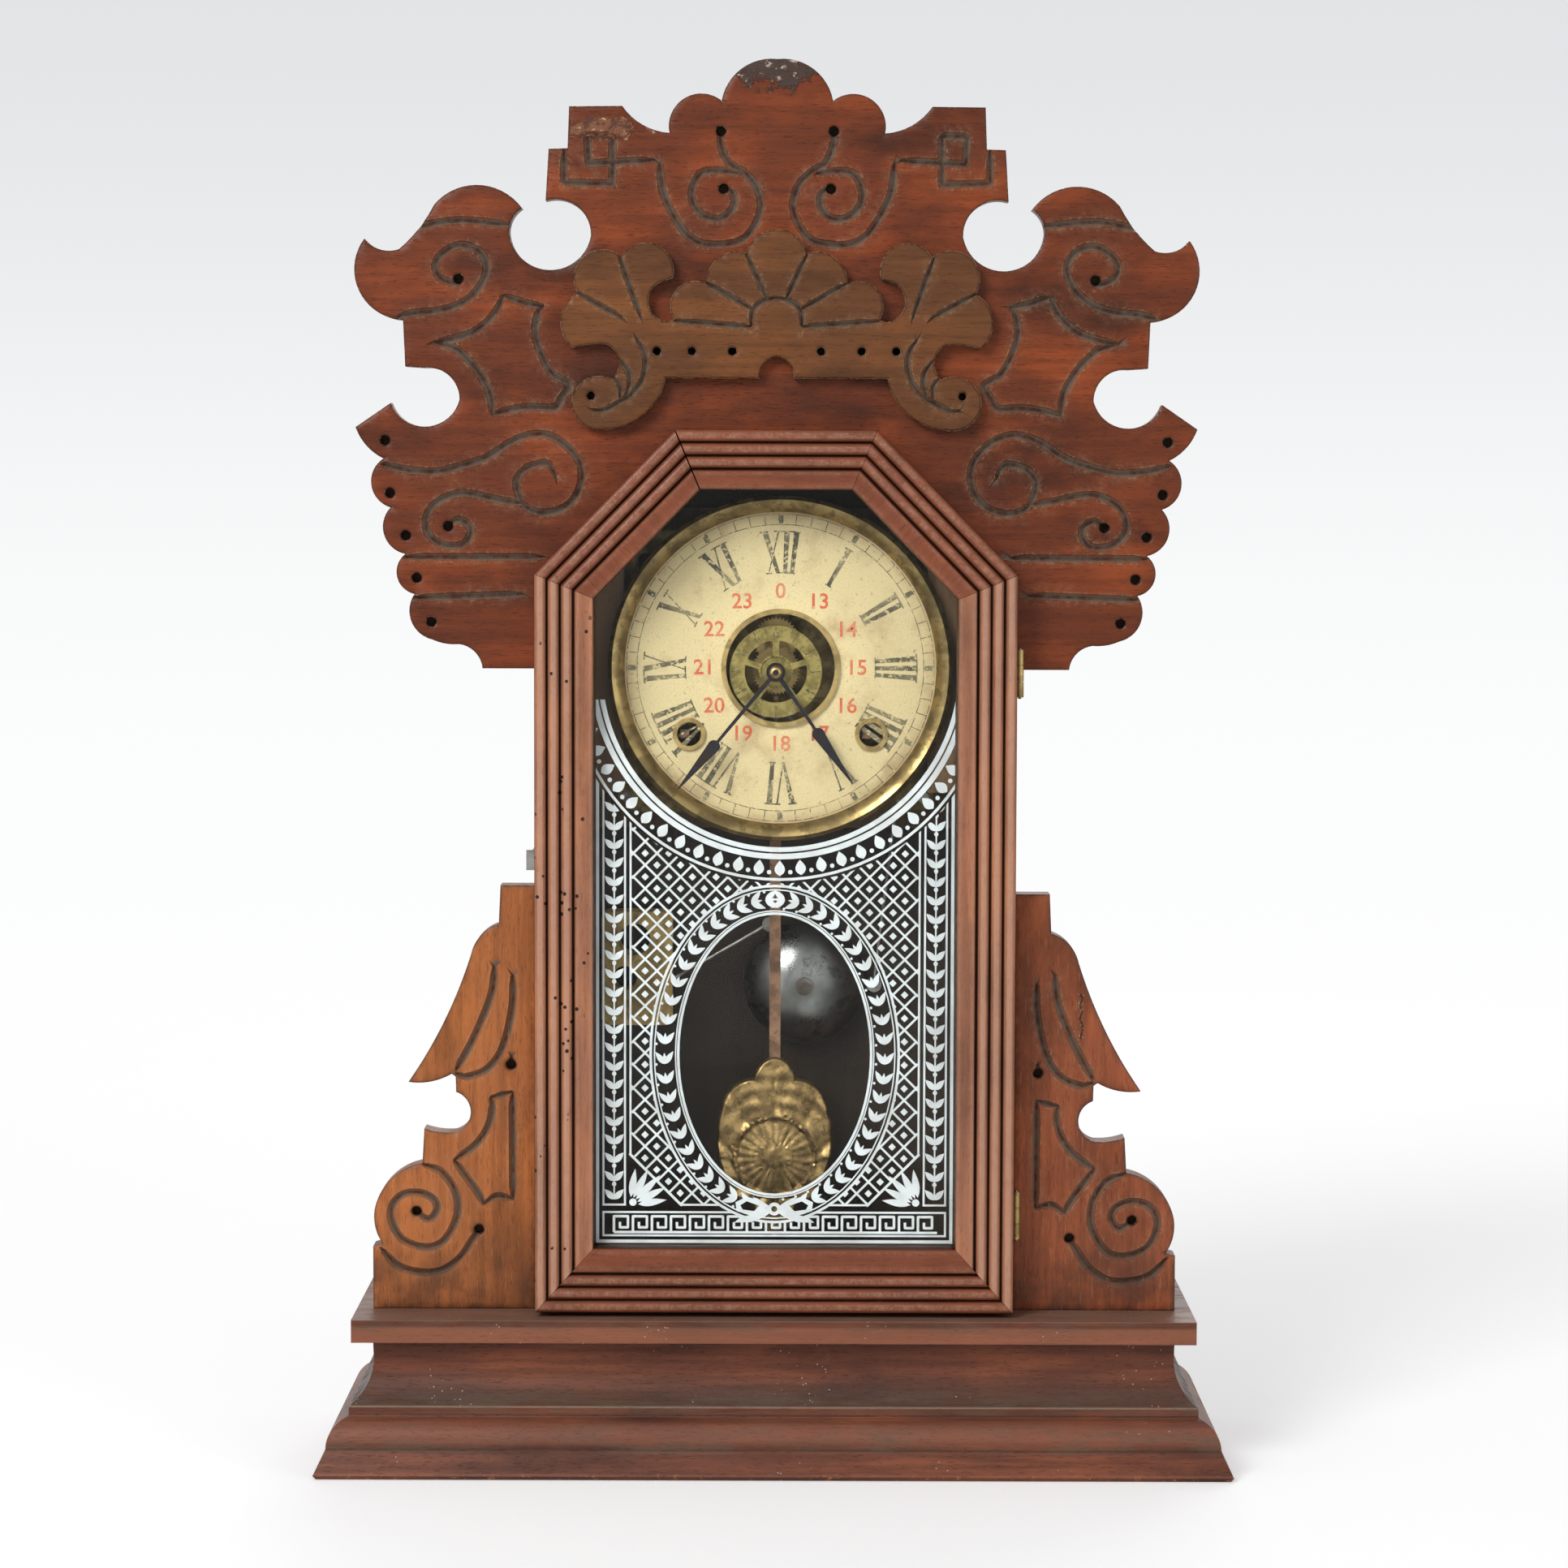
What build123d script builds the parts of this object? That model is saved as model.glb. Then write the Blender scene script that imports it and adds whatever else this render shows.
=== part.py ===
from build123d import *
import math
import os

os.makedirs("parts", exist_ok=True)

# A shelf clock with a sawn and carved wooden case. All sizes are millimetres.
# +Z is up, the front faces -Y, and the origin is the middle of the base's footprint.
# Places on the front are given as (x, z).

# Case and base
BASE_WIDTH = 363.6
BASE_DEPTH = 120.0
BASE_HEIGHT = 61.0
BOARD_THICK = 9.1
PLINTH_STEP = 14.0
PLINTH_WALL = 20.0
BACK_RAIL_THICK = 12.0
CASE_HALF = 95.5
CASE_TOP = 425.5
SIDE_THICK = 9.5
CASE_SETBACK = 24.0
BACK_OVERHANG = 8.0
BACKBOARD_THICK = 5.0
CREST_HALF = 167.0
CREST_HEIGHT = 240.7
CREST_THICK = 10.0
OVERLAY_THICK = 6.0
BRACKET_THICK = 12.0
BRACKET_SETBACK = 6.6
BRACKET_DROP = 3.0
DRILL_R = 2.0
DRILL_DEPTH = 6.0
OVERLAY_DRILL_R = 1.6

# Door
DOOR_SIDE_INSET = 0.25
DOOR_LIFT = 2.0
DOOR_BELOW_TOP = 11.9
DOOR_SLANT_DROP = 56.9
DOOR_SLANT_RUN = 55.55
CREST_BELOW_SHOULDER = 37.9
DOOR_GAP = 0.8
DOOR_THICK = 17.2
STILE_WIDTH = 23.5
BOTTOM_RAIL_WIDTH = 26.0
REED_WIDTH = 4.4
REED_GROOVE = 0.8
REED_DEPTH = 2.2
REED_COUNT = 3
RABBET_WIDTH = 5.0
RABBET_FRONT = 8.7
GLASS_THICK = 2.0
GLASS_PLAY = 0.4
BEAD_THICK = 4.0
OPENING_INSET = 9.25

# Hinges and catch
HINGE_HEIGHT = 19.0
HINGE_FROM_SHOULDER = 39.2
HINGE_FROM_BOTTOM = 37.0
BARREL_R = 1.6
PIN_R = 0.7
LEAF_THICK = 0.65
LEAF_REACH = 9.0
BARREL_GAP = 0.2
RUNNING = 0.05
PIN_PROUD = 0.6
CATCH_HALF = 4.0
CATCH_THICK = 0.9
CATCH_ABOVE_BASE = 182.3

# Dial and hands
HANDS_BELOW_DOOR_TOP = 96.1
DIAL_X = 1.8
DIAL_RAISE = 1.4
DIAL_THICK = 0.8
DIAL_R = 66.0
BEZEL_R = 68.9
BEZEL_INNER_R = 62.4
BEZEL_HEIGHT = 6.0
DIAL_EYE_R = 22.4
EYE_RING_WALL = 1.3
RING_PROUD = 1.5
WINDING_X = 36.5
WINDING_DROP = 26.6
WINDING_HOLE_R = 4.8
GROMMET_WALL = 0.9
GROMMET_PROUD = 1.0
BATTEN_DEPTH = 9.0
MINUTE_LENGTH = 61.0
MINUTE_BULB_AT = 38.5
MINUTE_ANGLE = 219.8
HOUR_LENGTH = 54.0
HOUR_BULB_AT = 30.0
HOUR_ANGLE = 145.3
HAND_THICK = 0.5
ALARM_DISC_R = 18.45
ALARM_DISC_INNER_R = 12.45
ALARM_HUB_R = 6.85
ALARM_DISC_THICK = 0.8
ALARM_SPOKE = 2.4

# Movement
PLATE_SPACING = 30.0
PLATE_THICK = 1.5
PLATE_HALF = 64.0
PLATE_LOW = -58.0
PLATE_HIGH = 56.0
PILLAR_PLACES = ((-60, 52), (60, 52), (-60, -52), (60, -52))
PILLAR_R = 2.5
ARBOR_R = 1.1
ARBOR_PLAY = 0.2
PIVOT_R = 0.6
PIVOT_SHORT = 0.3
STUD_R = 0.8
CENTRE_R = 1.2
CANNON_R = 1.75
CANNON_PLAY = 0.1
PIPE_WALL = 0.75
WINDER_R = 2.6
WINDER_SQUARE = 3.4
RATCHET_TEETH = 20
RATCHET_MODULE = 0.9
SPRING_R = 23.5
SPRING_CORE_R = 5.0
SPRING_TURNS = 8
SPRING_STRIP = 0.9
SPRING_CLEAR = 0.2
RATCHET_THICK = 1.1
WHEEL_THICK = 1.2
RIM_WALL = 3.0
HUB_R = 4.2
SPOKE_HALF = 1.0
PINION_LENGTH = 2.4
PINION_LEAD = 0.6
FLY_HALF = 10.0

# Pendulum, bell and alarm
BOB_ABOVE_BASE = 62.8
BOB_HEIGHT = 73.0
BOB_WIDTH = 47.0
BOB_THICK = 9.0
BOB_SLOT = 10.0
ROD_WIDTH = 4.5
ROD_THICK = 1.2
SPRING_LEAF_HALF = 0.15
CRUTCH_DROP = 29.5
CRUTCH_WIRE_R = 0.5
CRUTCH_PLAY = 0.4
VERGE_STUD_R = 0.7
BELL_X = 12.0
BELL_BELOW_HANDS = 131.0
BELL_R = 25.0
BELL_DEPTH = 13.0
BELL_WALL = 1.2
BELL_CROWN_R = 4.0
POST_R = 2.0
HAMMER_GAP = 0.8
HAMMER_R = 3.0
HAMMER_HALF = 3.5
HAMMER_WIRE_R = 0.8
ALARM_X = -57.0
ALARM_BELOW_HANDS = 124.5
ALARM_WIDTH = 29.0
ALARM_HEIGHT = 47.0
ALARM_PLATE_THICK = 1.2
ALARM_ARM = 50.0
ALARM_HEAD_ANGLE = 120.0

# Screws through the backboard
SCREW_R = 1.5
SCREW_HEAD_R = 3.2
SCREW_HEAD = 1.7
SCREW_LENGTH = 9.0
SCREW_FROM_END = 14.0

# Places that follow from these
BOARD_HALF = BASE_WIDTH / 2 - PLINTH_STEP
BASE_BACK = BASE_DEPTH / 2
BOARD_FRONT = -BASE_BACK + PLINTH_STEP
BOARD_UNDER = BASE_HEIGHT - BOARD_THICK
FRONT_Y = BOARD_FRONT + CASE_SETBACK
SIDE_INNER = CASE_HALF - SIDE_THICK
CREST_BACK = FRONT_Y + CREST_THICK
DOOR_BACK = FRONT_Y - DOOR_GAP
DOOR_FRONT = DOOR_BACK - DOOR_THICK
BACKBOARD_BACK = BASE_BACK - BACK_OVERHANG
BACKBOARD_Y = BACKBOARD_BACK - BACKBOARD_THICK
DOOR_HALF = CASE_HALF - DOOR_SIDE_INSET
DOOR_BOTTOM = BASE_HEIGHT + DOOR_LIFT
DOOR_TOP = CASE_TOP - DOOR_BELOW_TOP
DOOR_SHOULDER = DOOR_TOP - DOOR_SLANT_DROP
DOOR_TOP_HALF = DOOR_HALF - DOOR_SLANT_RUN
CREST_BOTTOM = DOOR_SHOULDER - CREST_BELOW_SHOULDER
HINGE_CENTRES = (DOOR_SHOULDER - HINGE_FROM_SHOULDER, DOOR_BOTTOM + HINGE_FROM_BOTTOM)
CATCH_Z = BASE_HEIGHT + CATCH_ABOVE_BASE
HANDS_Z = DOOR_TOP - HANDS_BELOW_DOOR_TOP
DIAL_Z = HANDS_Z + DIAL_RAISE
DIAL_Y = CREST_BACK
MINUTE_HAND_Y = DIAL_Y - 9.0
HOUR_HAND_Y = DIAL_Y - 6.4
ALARM_DISC_Y = DIAL_Y - 1.6
FRONT_PLATE_Y = DIAL_Y + 22.0
BACK_PLATE_Y = FRONT_PLATE_Y + PLATE_SPACING
SPRING_Y = FRONT_PLATE_Y + 8.6
PENDULUM_Y = FRONT_PLATE_Y - 8.0
BELL_Y = FRONT_PLATE_Y + 14.0
HAMMER_Y = BELL_Y + 9.0
ALARM_PLATE_Y = HAMMER_Y - 3.0
ALARM_BACK_Y = HAMMER_Y + 10.0
BOB_Z = BASE_HEIGHT + BOB_ABOVE_BASE
BELL_Z = HANDS_Z - BELL_BELOW_HANDS
ALARM_Z = HANDS_Z - ALARM_BELOW_HANDS


pieces = {}


def save(shape, name):
    """Keeps a finished sub-part under its name; all are written at the end."""
    pieces[name] = shape


def slab(face, front, back):
    """A flat outline drawn in (x, z), as thick as from y = front to y = back."""
    return extrude(Plane.XZ.offset(-back) * face, amount=back - front, dir=(0, -1, 0))


def outline(start, *steps):
    """Edges from start through the steps: a step is an end point, or an arc's (middle, end)."""
    edges = []
    here = start
    for step in steps:
        if isinstance(step[0], tuple):
            edges.append(ThreePointArc(here, step[0], step[1]))
            here = step[1]
        else:
            edges.append(Line(here, step))
            here = step
    return edges


def filled(edges):
    return make_face(edges)


def both_halves(edges):
    """A face from the edges of its right half, which starts and ends on x = 0."""
    return make_face(edges + [mirror(edge, about=Plane.YZ) for edge in edges])


def disc(x, z, radius):
    return Pos(x, z) * Circle(radius)


def round_bar(x, z, radius, front, back):
    return slab(disc(x, z, radius), front, back)


def box_between(low, high):
    size = [high[i] - low[i] for i in range(3)]
    return Pos(*low) * Box(*size, align=(Align.MIN, Align.MIN, Align.MIN))


def group(solids):
    return Compound(children=list(solids))


# Base

def plinth_profile():
    """The moulding's section: distance out from the top board's edge, and height."""
    def at(out, share):
        return (PLINTH_STEP * out, BOARD_UNDER * share)

    return filled(outline(
        (-PLINTH_WALL, 0), at(0.914, 0), at(1, 0.029), at(0.707, 0.187), at(0.664, 0.216),
        (at(0.514, 0.351), at(0.093, 0.437)), at(0.064, 0.451), at(0.064, 0.511),
        (at(-0.443, 0.671), at(-0.586, 0.877)), at(-0.571, 1),
        (-PLINTH_WALL, BOARD_UNDER), (-PLINTH_WALL, 0)))


def plinth_front():
    section = Plane((0, BOARD_FRONT, 0), x_dir=(0, -1, 0), z_dir=(-1, 0, 0)) * plinth_profile()
    run = extrude(section, amount=BASE_WIDTH, both=True)
    half = BASE_WIDTH / 2
    back = BOARD_FRONT + PLINTH_WALL
    deep = half - (back + BASE_BACK)
    plan = Polygon((-half, -BASE_BACK), (half, -BASE_BACK), (deep, back), (-deep, back), align=None)
    return run & extrude(plan, amount=BASE_HEIGHT, dir=(0, 0, 1))


def plinth_side(side):
    section = Plane((side * BOARD_HALF, 0, 0), x_dir=(side, 0, 0), z_dir=(0, -side, 0)) * plinth_profile()
    run = extrude(section, amount=BASE_DEPTH, both=True)
    half = BASE_WIDTH / 2
    inner = BOARD_HALF - PLINTH_WALL
    mitre_end = -BASE_BACK + (half - inner)
    plan = Polygon((side * half, -BASE_BACK), (side * half, BASE_BACK), (side * inner, BASE_BACK),
                   (side * inner, mitre_end), align=None)
    return run & extrude(plan, amount=BASE_HEIGHT, dir=(0, 0, 1))


top_board = box_between((-BOARD_HALF, BOARD_FRONT, BOARD_UNDER), (BOARD_HALF, BASE_BACK, BASE_HEIGHT))
save(top_board, "base_top_board")
save(plinth_front(), "plinth_front_moulding")
save(plinth_side(-1), "plinth_left_moulding")
save(plinth_side(1), "plinth_right_moulding")
rail_half = BOARD_HALF - PLINTH_WALL
back_rail = box_between((-rail_half, BASE_BACK - BACK_RAIL_THICK, 0), (rail_half, BASE_BACK, BOARD_UNDER))
save(back_rail, "plinth_back_rail")

# Case box

def case_side(side):
    """One side board, cut back at the front where the crest board is let in."""
    low = box_between((SIDE_INNER, FRONT_Y, BASE_HEIGHT), (CASE_HALF, BACKBOARD_Y, CREST_BOTTOM))
    high = box_between((SIDE_INNER, CREST_BACK, CREST_BOTTOM), (CASE_HALF, BACKBOARD_Y, CASE_TOP))
    board = low + high
    return board if side > 0 else mirror(board, about=Plane.YZ)


save(case_side(-1), "case_left_side")
save(case_side(1), "case_right_side")
case_top = box_between((-SIDE_INNER, CREST_BACK, CASE_TOP - SIDE_THICK), (SIDE_INNER, BACKBOARD_Y, CASE_TOP))
save(case_top, "case_top")
save(box_between((-CASE_HALF, BACKBOARD_Y, BASE_HEIGHT), (CASE_HALF, BACKBOARD_BACK, CASE_TOP)), "backboard")

# Door outline, from which the crest's opening, the rails and the glass are worked out

SLANT = math.atan2(DOOR_TOP - DOOR_SHOULDER, DOOR_HALF - DOOR_TOP_HALF)
SHOULDER_TURN = math.tan((math.pi / 2 - SLANT) / 2)
TOP_TURN = math.tan(SLANT / 2)


def door_points(inset, bottom_inset=None):
    """Corners of the right half of the door's outline, moved inwards, from the bottom up."""
    low = DOOR_BOTTOM + (inset if bottom_inset is None else bottom_inset)
    return [
        (DOOR_HALF - inset, low),
        (DOOR_HALF - inset, DOOR_SHOULDER - inset * SHOULDER_TURN),
        (DOOR_TOP_HALF - inset * TOP_TURN, DOOR_TOP - inset),
    ]


def door_shape(inset, bottom_inset=None):
    right = door_points(inset, bottom_inset)
    left = [(-x, z) for x, z in reversed(right)]
    return Polygon(*right, *left, align=None)


# Crest board, its overlay and the side brackets

opening = door_points(OPENING_INSET)
CREST_TOP = CREST_BOTTOM + CREST_HEIGHT


def crest_point(x, below):
    """A drawn point, given by its distance out and its depth below the finial's tip, at the crest's size."""
    return (x * CREST_HALF / 167.0, CREST_TOP - below * CREST_HEIGHT / 240.7)


def on_crest(points):
    """Outline steps with every point put on the crest; an arc's step holds two points."""
    placed = []
    for point in points:
        arc = isinstance(point[0], tuple)
        placed.append(tuple(crest_point(*end) for end in point) if arc else crest_point(*point))
    return placed


# The crest and its overlay as drawn: right half, distance out and depth below the finial's tip
CREST_EDGE = (
    (0, 0), ((17.0, 6.3), (22.0, 16.3)), ((36.5, 15.3), (42.6, 29)),
    ((51.3, 26.8), (61.2, 18.5)), (82.2, 18.7), (82.8, 35.1), (90.3, 35.4), (91.5, 55.7),
    ((77.9, 58.9), (73.6, 69.6)), ((88.2, 82.9), (105.9, 68.7)), ((104.8, 63.1), (100.8, 58.7)),
    ((118.8, 49.6), (135.5, 57.3)), ((142.3, 67.6), (149.5, 74.9)), ((156.5, 75.2), (163.2, 70.8)),
    ((166.2, 89.3), (148.0, 102.8)), (147.2, 121.1), (139.6, 121.6),
    ((129.4, 125.1), (125.7, 134.1)), ((135.0, 144.1), (153.0, 135.5)), (167.0, 145.1),
    ((163.4, 151.6), (156.0, 157.5)), ((160.9, 167.3), (153.2, 176.9)), ((156.2, 185.9), (147.4, 195.3)),
    ((150.8, 203.9), (143.8, 211.2)), ((145.3, 221.5), (136.8, 229.3)), ((131.5, 230.9), (126.0, 231.1)),
    ((119.9, 234.1), (116.8, 240.7)))
CREST_DRILLINGS = ((155.3, 150.3), (153.4, 171.1), (147.2, 187.9), (142.9, 204.7), (137.1, 222.2),
                   (130.4, 184.2), (126.1, 86.5), (22.3, 28.2), (21.2, 50.8))
OVERLAY_EDGE = (
    (0, 67.2), ((6.6, 68.9), (11.7, 76.2)), ((23.4, 78.6), (28.0, 88.2)), ((38.4, 89.5), (40.6, 102.5)),
    (43.3, 103.4), ((50.6, 95.5), (44.4, 87.5)), (41.0, 86.3), ((46.5, 73.7), (61.2, 77.8)),
    ((76.8, 78.5), (78.7, 92.3)), ((85.4, 103), (80.5, 113.9)), ((72.8, 112.3), (66.8, 112.5)),
    ((62.4, 119.3), (65.0, 125.9)), ((78.3, 128.5), (81.1, 136)), ((75.6, 144.5), (66.5, 145.9)),
    ((51.8, 139.7), (43.8, 125.7)), (6.8, 125.7), ((4.8, 119.5), (0, 117.1)))
OVERLAY_DRILLINGS = ((47.3, 114.9), (33.5, 114.9), (17.5, 114.9), (73.4, 132.5))


def crest_outline():
    """The crest's right half, down its edge and back up round the door opening, and its mirror image."""
    return both_halves(outline(
        *on_crest(CREST_EDGE), (SIDE_INNER, CREST_BOTTOM), (SIDE_INNER, opening[1][1]),
        opening[2], (0, opening[2][1])))


def overlay_outline():
    return both_halves(outline(*on_crest(OVERLAY_EDGE)))


def drilled(board, places, front, radius, depth):
    """Blind holes on both sides of the middle line."""
    for x, z in on_crest(places):
        for side in (-1, 1):
            board -= round_bar(side * x, z, radius, front - 1, front + depth)
    return board


def crest_board():
    board = slab(crest_outline(), FRONT_Y, CREST_BACK)
    return drilled(board, CREST_DRILLINGS, FRONT_Y, DRILL_R, DRILL_DEPTH)


def crest_overlay():
    front = FRONT_Y - OVERLAY_THICK
    board = slab(overlay_outline(), front, FRONT_Y)
    return drilled(board, OVERLAY_DRILLINGS, front, OVERLAY_DRILL_R, OVERLAY_THICK / 2)


BRACKET_REACH = BOARD_HALF - BRACKET_SETBACK - CASE_HALF


def bracket_point(out, height):
    """A drawn point, given by its distance out from the side board and its height above the base."""
    return (CASE_HALF + out * BRACKET_REACH / 65.7, BASE_HEIGHT + height)


def bracket_outline(drop):
    """A bracket's outline on the right; drop lowers everything above its foot."""
    def at(out, height):
        return bracket_point(out, height - drop)

    return filled(outline(
        at(0, 171.1), at(14.3, 171.1), at(15.0, 155.4), (at(22.5, 150.6), at(26.1, 143.4)),
        (at(36.1, 118.0), at(51.3, 91.8)), (at(42.7, 91.9), at(34.0, 95.1)), at(32.4, 94.0),
        at(32.2, 87.8), (at(26.4, 80.0), at(33.0, 71.4)), (at(39.3, 71.6), at(45.0, 73.0)),
        at(45.8, 58.9), (at(59.5, 51.4), at(65.1, 40.1)), (at(64.8, 32.8), at(61.9, 26.3)),
        at(65.7, 25.3), bracket_point(65.7, 0), bracket_point(0, 0), at(0, 171.1)))


BRACKET_DRILLINGS = ((10.1, 98.9), (48.2, 39.5), (23.1, 32.2))


def bracket(side, drop):
    board = slab(bracket_outline(drop), FRONT_Y, FRONT_Y + BRACKET_THICK)
    for out, height in BRACKET_DRILLINGS:
        x, z = bracket_point(out, height - drop)
        board -= round_bar(x, z, DRILL_R, FRONT_Y - 1, FRONT_Y + DRILL_DEPTH)
    return board if side > 0 else mirror(board, about=Plane.YZ)


save(crest_board(), "crest_board")
save(crest_overlay(), "crest_overlay")
save(bracket(-1, 0), "left_bracket")
save(bracket(1, BRACKET_DROP), "right_bracket")

# Door: six mitred lengths of reeded moulding, with a rabbet behind for the glass

GLASS_FRONT = DOOR_FRONT + RABBET_FRONT
GLASS_BACK = GLASS_FRONT + GLASS_THICK


def moulding_profile(width):
    """Section across a rail: distance out from the sight edge, and y."""
    low = DOOR_FRONT
    points = [(0, low)]
    first = width - REED_COUNT * (REED_WIDTH + REED_GROOVE)
    for reed in range(REED_COUNT):
        at = first + reed * (REED_WIDTH + REED_GROOVE)
        points += [(at, low), (at + REED_GROOVE / 2, low + REED_DEPTH), (at + REED_GROOVE, low)]
    points += [(width, low), (width, DOOR_BACK), (RABBET_WIDTH, DOOR_BACK)]
    points += [(RABBET_WIDTH, GLASS_FRONT), (0, GLASS_FRONT)]
    return Polygon(*points, align=None)


def rail(outer_a, outer_b, inner_b, inner_a, width):
    """One moulding between two mitres; outer_a to outer_b is its outer edge."""
    along = Vector(outer_b[0] - outer_a[0], 0, outer_b[1] - outer_a[1])
    middle = Vector((inner_a[0] + inner_b[0]) / 2, 0, (inner_a[1] + inner_b[1]) / 2)
    out = Vector(along.Z, 0, -along.X).normalized()
    if out.dot(Vector(outer_a[0], 0, outer_a[1]) - middle) < 0:
        out = out * -1
    sight = Vector(outer_a[0], 0, outer_a[1]) - out * width
    plane = Plane(sight, x_dir=out, z_dir=out.cross(Vector(0, 1, 0)))
    bar = extrude(plane * moulding_profile(width), amount=2 * along.length, both=True)
    mitred = Polygon(outer_a, outer_b, inner_b, inner_a, align=None)
    return bar & slab(mitred, DOOR_FRONT, DOOR_BACK)


outer = door_points(0)
inner = door_points(STILE_WIDTH, BOTTOM_RAIL_WIDTH)


def flipped(points):
    return [(-x, z) for x, z in points]


def hinge_pocket(z):
    """Room in the right stile's back for a hinge leaf."""
    half = HINGE_HEIGHT / 2 + 0.2
    return box_between((DOOR_HALF - LEAF_REACH - 0.2, DOOR_BACK - LEAF_THICK - RUNNING, z - half),
                       (DOOR_HALF + 1, DOOR_BACK + 1, z + half))


left_outer, left_inner = flipped(outer), flipped(inner)
right_stile = rail(outer[0], outer[1], inner[1], inner[0], STILE_WIDTH)
for height in HINGE_CENTRES:
    right_stile -= hinge_pocket(height)
save(right_stile, "door_right_stile")
save(rail(left_outer[0], left_outer[1], left_inner[1], left_inner[0], STILE_WIDTH), "door_left_stile")
save(rail(outer[1], outer[2], inner[2], inner[1], STILE_WIDTH), "door_right_slant")
save(rail(left_outer[1], left_outer[2], left_inner[2], left_inner[1], STILE_WIDTH), "door_left_slant")
save(rail(left_outer[2], outer[2], inner[2], left_inner[2], STILE_WIDTH), "door_top_rail")
save(rail(left_outer[0], outer[0], inner[0], left_inner[0], BOTTOM_RAIL_WIDTH), "door_bottom_rail")

glass_inset = STILE_WIDTH - RABBET_WIDTH + GLASS_PLAY
glass_low = BOTTOM_RAIL_WIDTH - RABBET_WIDTH + GLASS_PLAY
save(slab(door_shape(glass_inset, glass_low), GLASS_FRONT, GLASS_BACK), "door_glass")

bead_ring = door_shape(glass_inset, glass_low) - door_shape(STILE_WIDTH, BOTTOM_RAIL_WIDTH)
save(slab(bead_ring, GLASS_BACK, GLASS_BACK + BEAD_THICK), "glass_bead")

# Hinges: the case leaf has the end knuckles and the pin, the door leaf the middle one

HINGE_X = DOOR_HALF + BARREL_R + BARREL_GAP
HINGE_Y = DOOR_BACK - 1.0


def upright(x, y, radius, low, high):
    return Pos(x, y, low) * Cylinder(radius, high - low, align=(Align.CENTER, Align.CENTER, Align.MIN))


def knuckle(low, high, plate_front):
    """A knuckle round the pin, joined to its leaf's plate."""
    body = upright(HINGE_X, HINGE_Y, BARREL_R, low, high)
    body += box_between((DOOR_HALF - BARREL_GAP, plate_front, low), (HINGE_X, plate_front + LEAF_THICK, high))
    return body - upright(HINGE_X, HINGE_Y, PIN_R + RUNNING, low - 1, high + 1)


def case_leaf(z):
    low, high = z - HINGE_HEIGHT / 2, z + HINGE_HEIGHT / 2
    third = HINGE_HEIGHT / 3
    front = FRONT_Y - LEAF_THICK
    plate = box_between((DOOR_HALF - LEAF_REACH, front, low), (DOOR_HALF, FRONT_Y, high))
    plate += knuckle(low, low + third - BARREL_GAP, front)
    return plate + knuckle(high - third + BARREL_GAP, high, front)


def door_leaf(z):
    low, high = z - HINGE_HEIGHT / 2, z + HINGE_HEIGHT / 2
    third = HINGE_HEIGHT / 3
    front = DOOR_BACK - LEAF_THICK
    plate = box_between((DOOR_HALF - LEAF_REACH, front, low), (DOOR_HALF - BARREL_GAP / 2, DOOR_BACK, high))
    return plate + knuckle(low + third, high - third, front)


def hinge_pin(z):
    half = HINGE_HEIGHT / 2
    return upright(HINGE_X, HINGE_Y, PIN_R, z - half - PIN_PROUD, z + half + PIN_PROUD)


save(group(case_leaf(z) for z in HINGE_CENTRES), "hinge_case_leaves")
save(group(door_leaf(z) for z in HINGE_CENTRES), "hinge_door_leaves")
save(group(hinge_pin(z) for z in HINGE_CENTRES), "hinge_pins")


def door_catch():
    """A bent steel strip on the left side that grips the door's edge, with a turned-out tip."""
    x = -CASE_HALF
    tip_back = DOOR_FRONT + 7
    low, high = CATCH_Z - CATCH_HALF, CATCH_Z + CATCH_HALF
    strip = box_between((x - CATCH_THICK, tip_back, low), (x, FRONT_Y + 16, high))
    return strip + box_between((x - 3.2, tip_back - CATCH_THICK, low), (x, tip_back, high))


save(door_catch(), "door_catch")

# Dial

def dial_plate():
    face = disc(DIAL_X, DIAL_Z, DIAL_R) - disc(DIAL_X, DIAL_Z, DIAL_EYE_R)
    for side in (-1, 1):
        face -= disc(DIAL_X + side * WINDING_X, DIAL_Z - WINDING_DROP, WINDING_HOLE_R + GROMMET_WALL)
    return slab(face, DIAL_Y, DIAL_Y + DIAL_THICK)


def turned_ring(x, z, section):
    """A ring turned about a Y axis through (x, z); section is its outline in (radius, y)."""
    return revolve(Plane((x, 0, z), x_dir=(1, 0, 0), z_dir=(0, 0, 1)) * section,
                   axis=Axis((x, 0, z), (0, 1, 0)), revolution_arc=360)


def bezel():
    top = DIAL_Y - BEZEL_HEIGHT
    section = filled(outline(
        (BEZEL_INNER_R, DIAL_Y), (BEZEL_INNER_R, DIAL_Y - 1.2),
        ((BEZEL_INNER_R + 2.4, DIAL_Y - 4.6), (BEZEL_R - 1.6, top)),
        (BEZEL_R, top + 1.2), (BEZEL_R, DIAL_Y), (BEZEL_INNER_R, DIAL_Y)))
    return turned_ring(DIAL_X, DIAL_Z, section)


def ring_band(x, z, inner_r, outer_r, front, back):
    return slab(disc(x, z, outer_r) - disc(x, z, inner_r), front, back)


save(dial_plate(), "dial_plate")
save(bezel(), "dial_bezel")

def flanged_ring(x, z, inner_r, sleeve_r, flange_r, proud):
    """A ring with a sleeve through the dial's hole and a flange that stands proud of the dial."""
    sleeve = ring_band(x, z, inner_r, sleeve_r, DIAL_Y - proud, DIAL_Y + DIAL_THICK)
    return sleeve + ring_band(x, z, inner_r, flange_r, DIAL_Y - proud, DIAL_Y)


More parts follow.
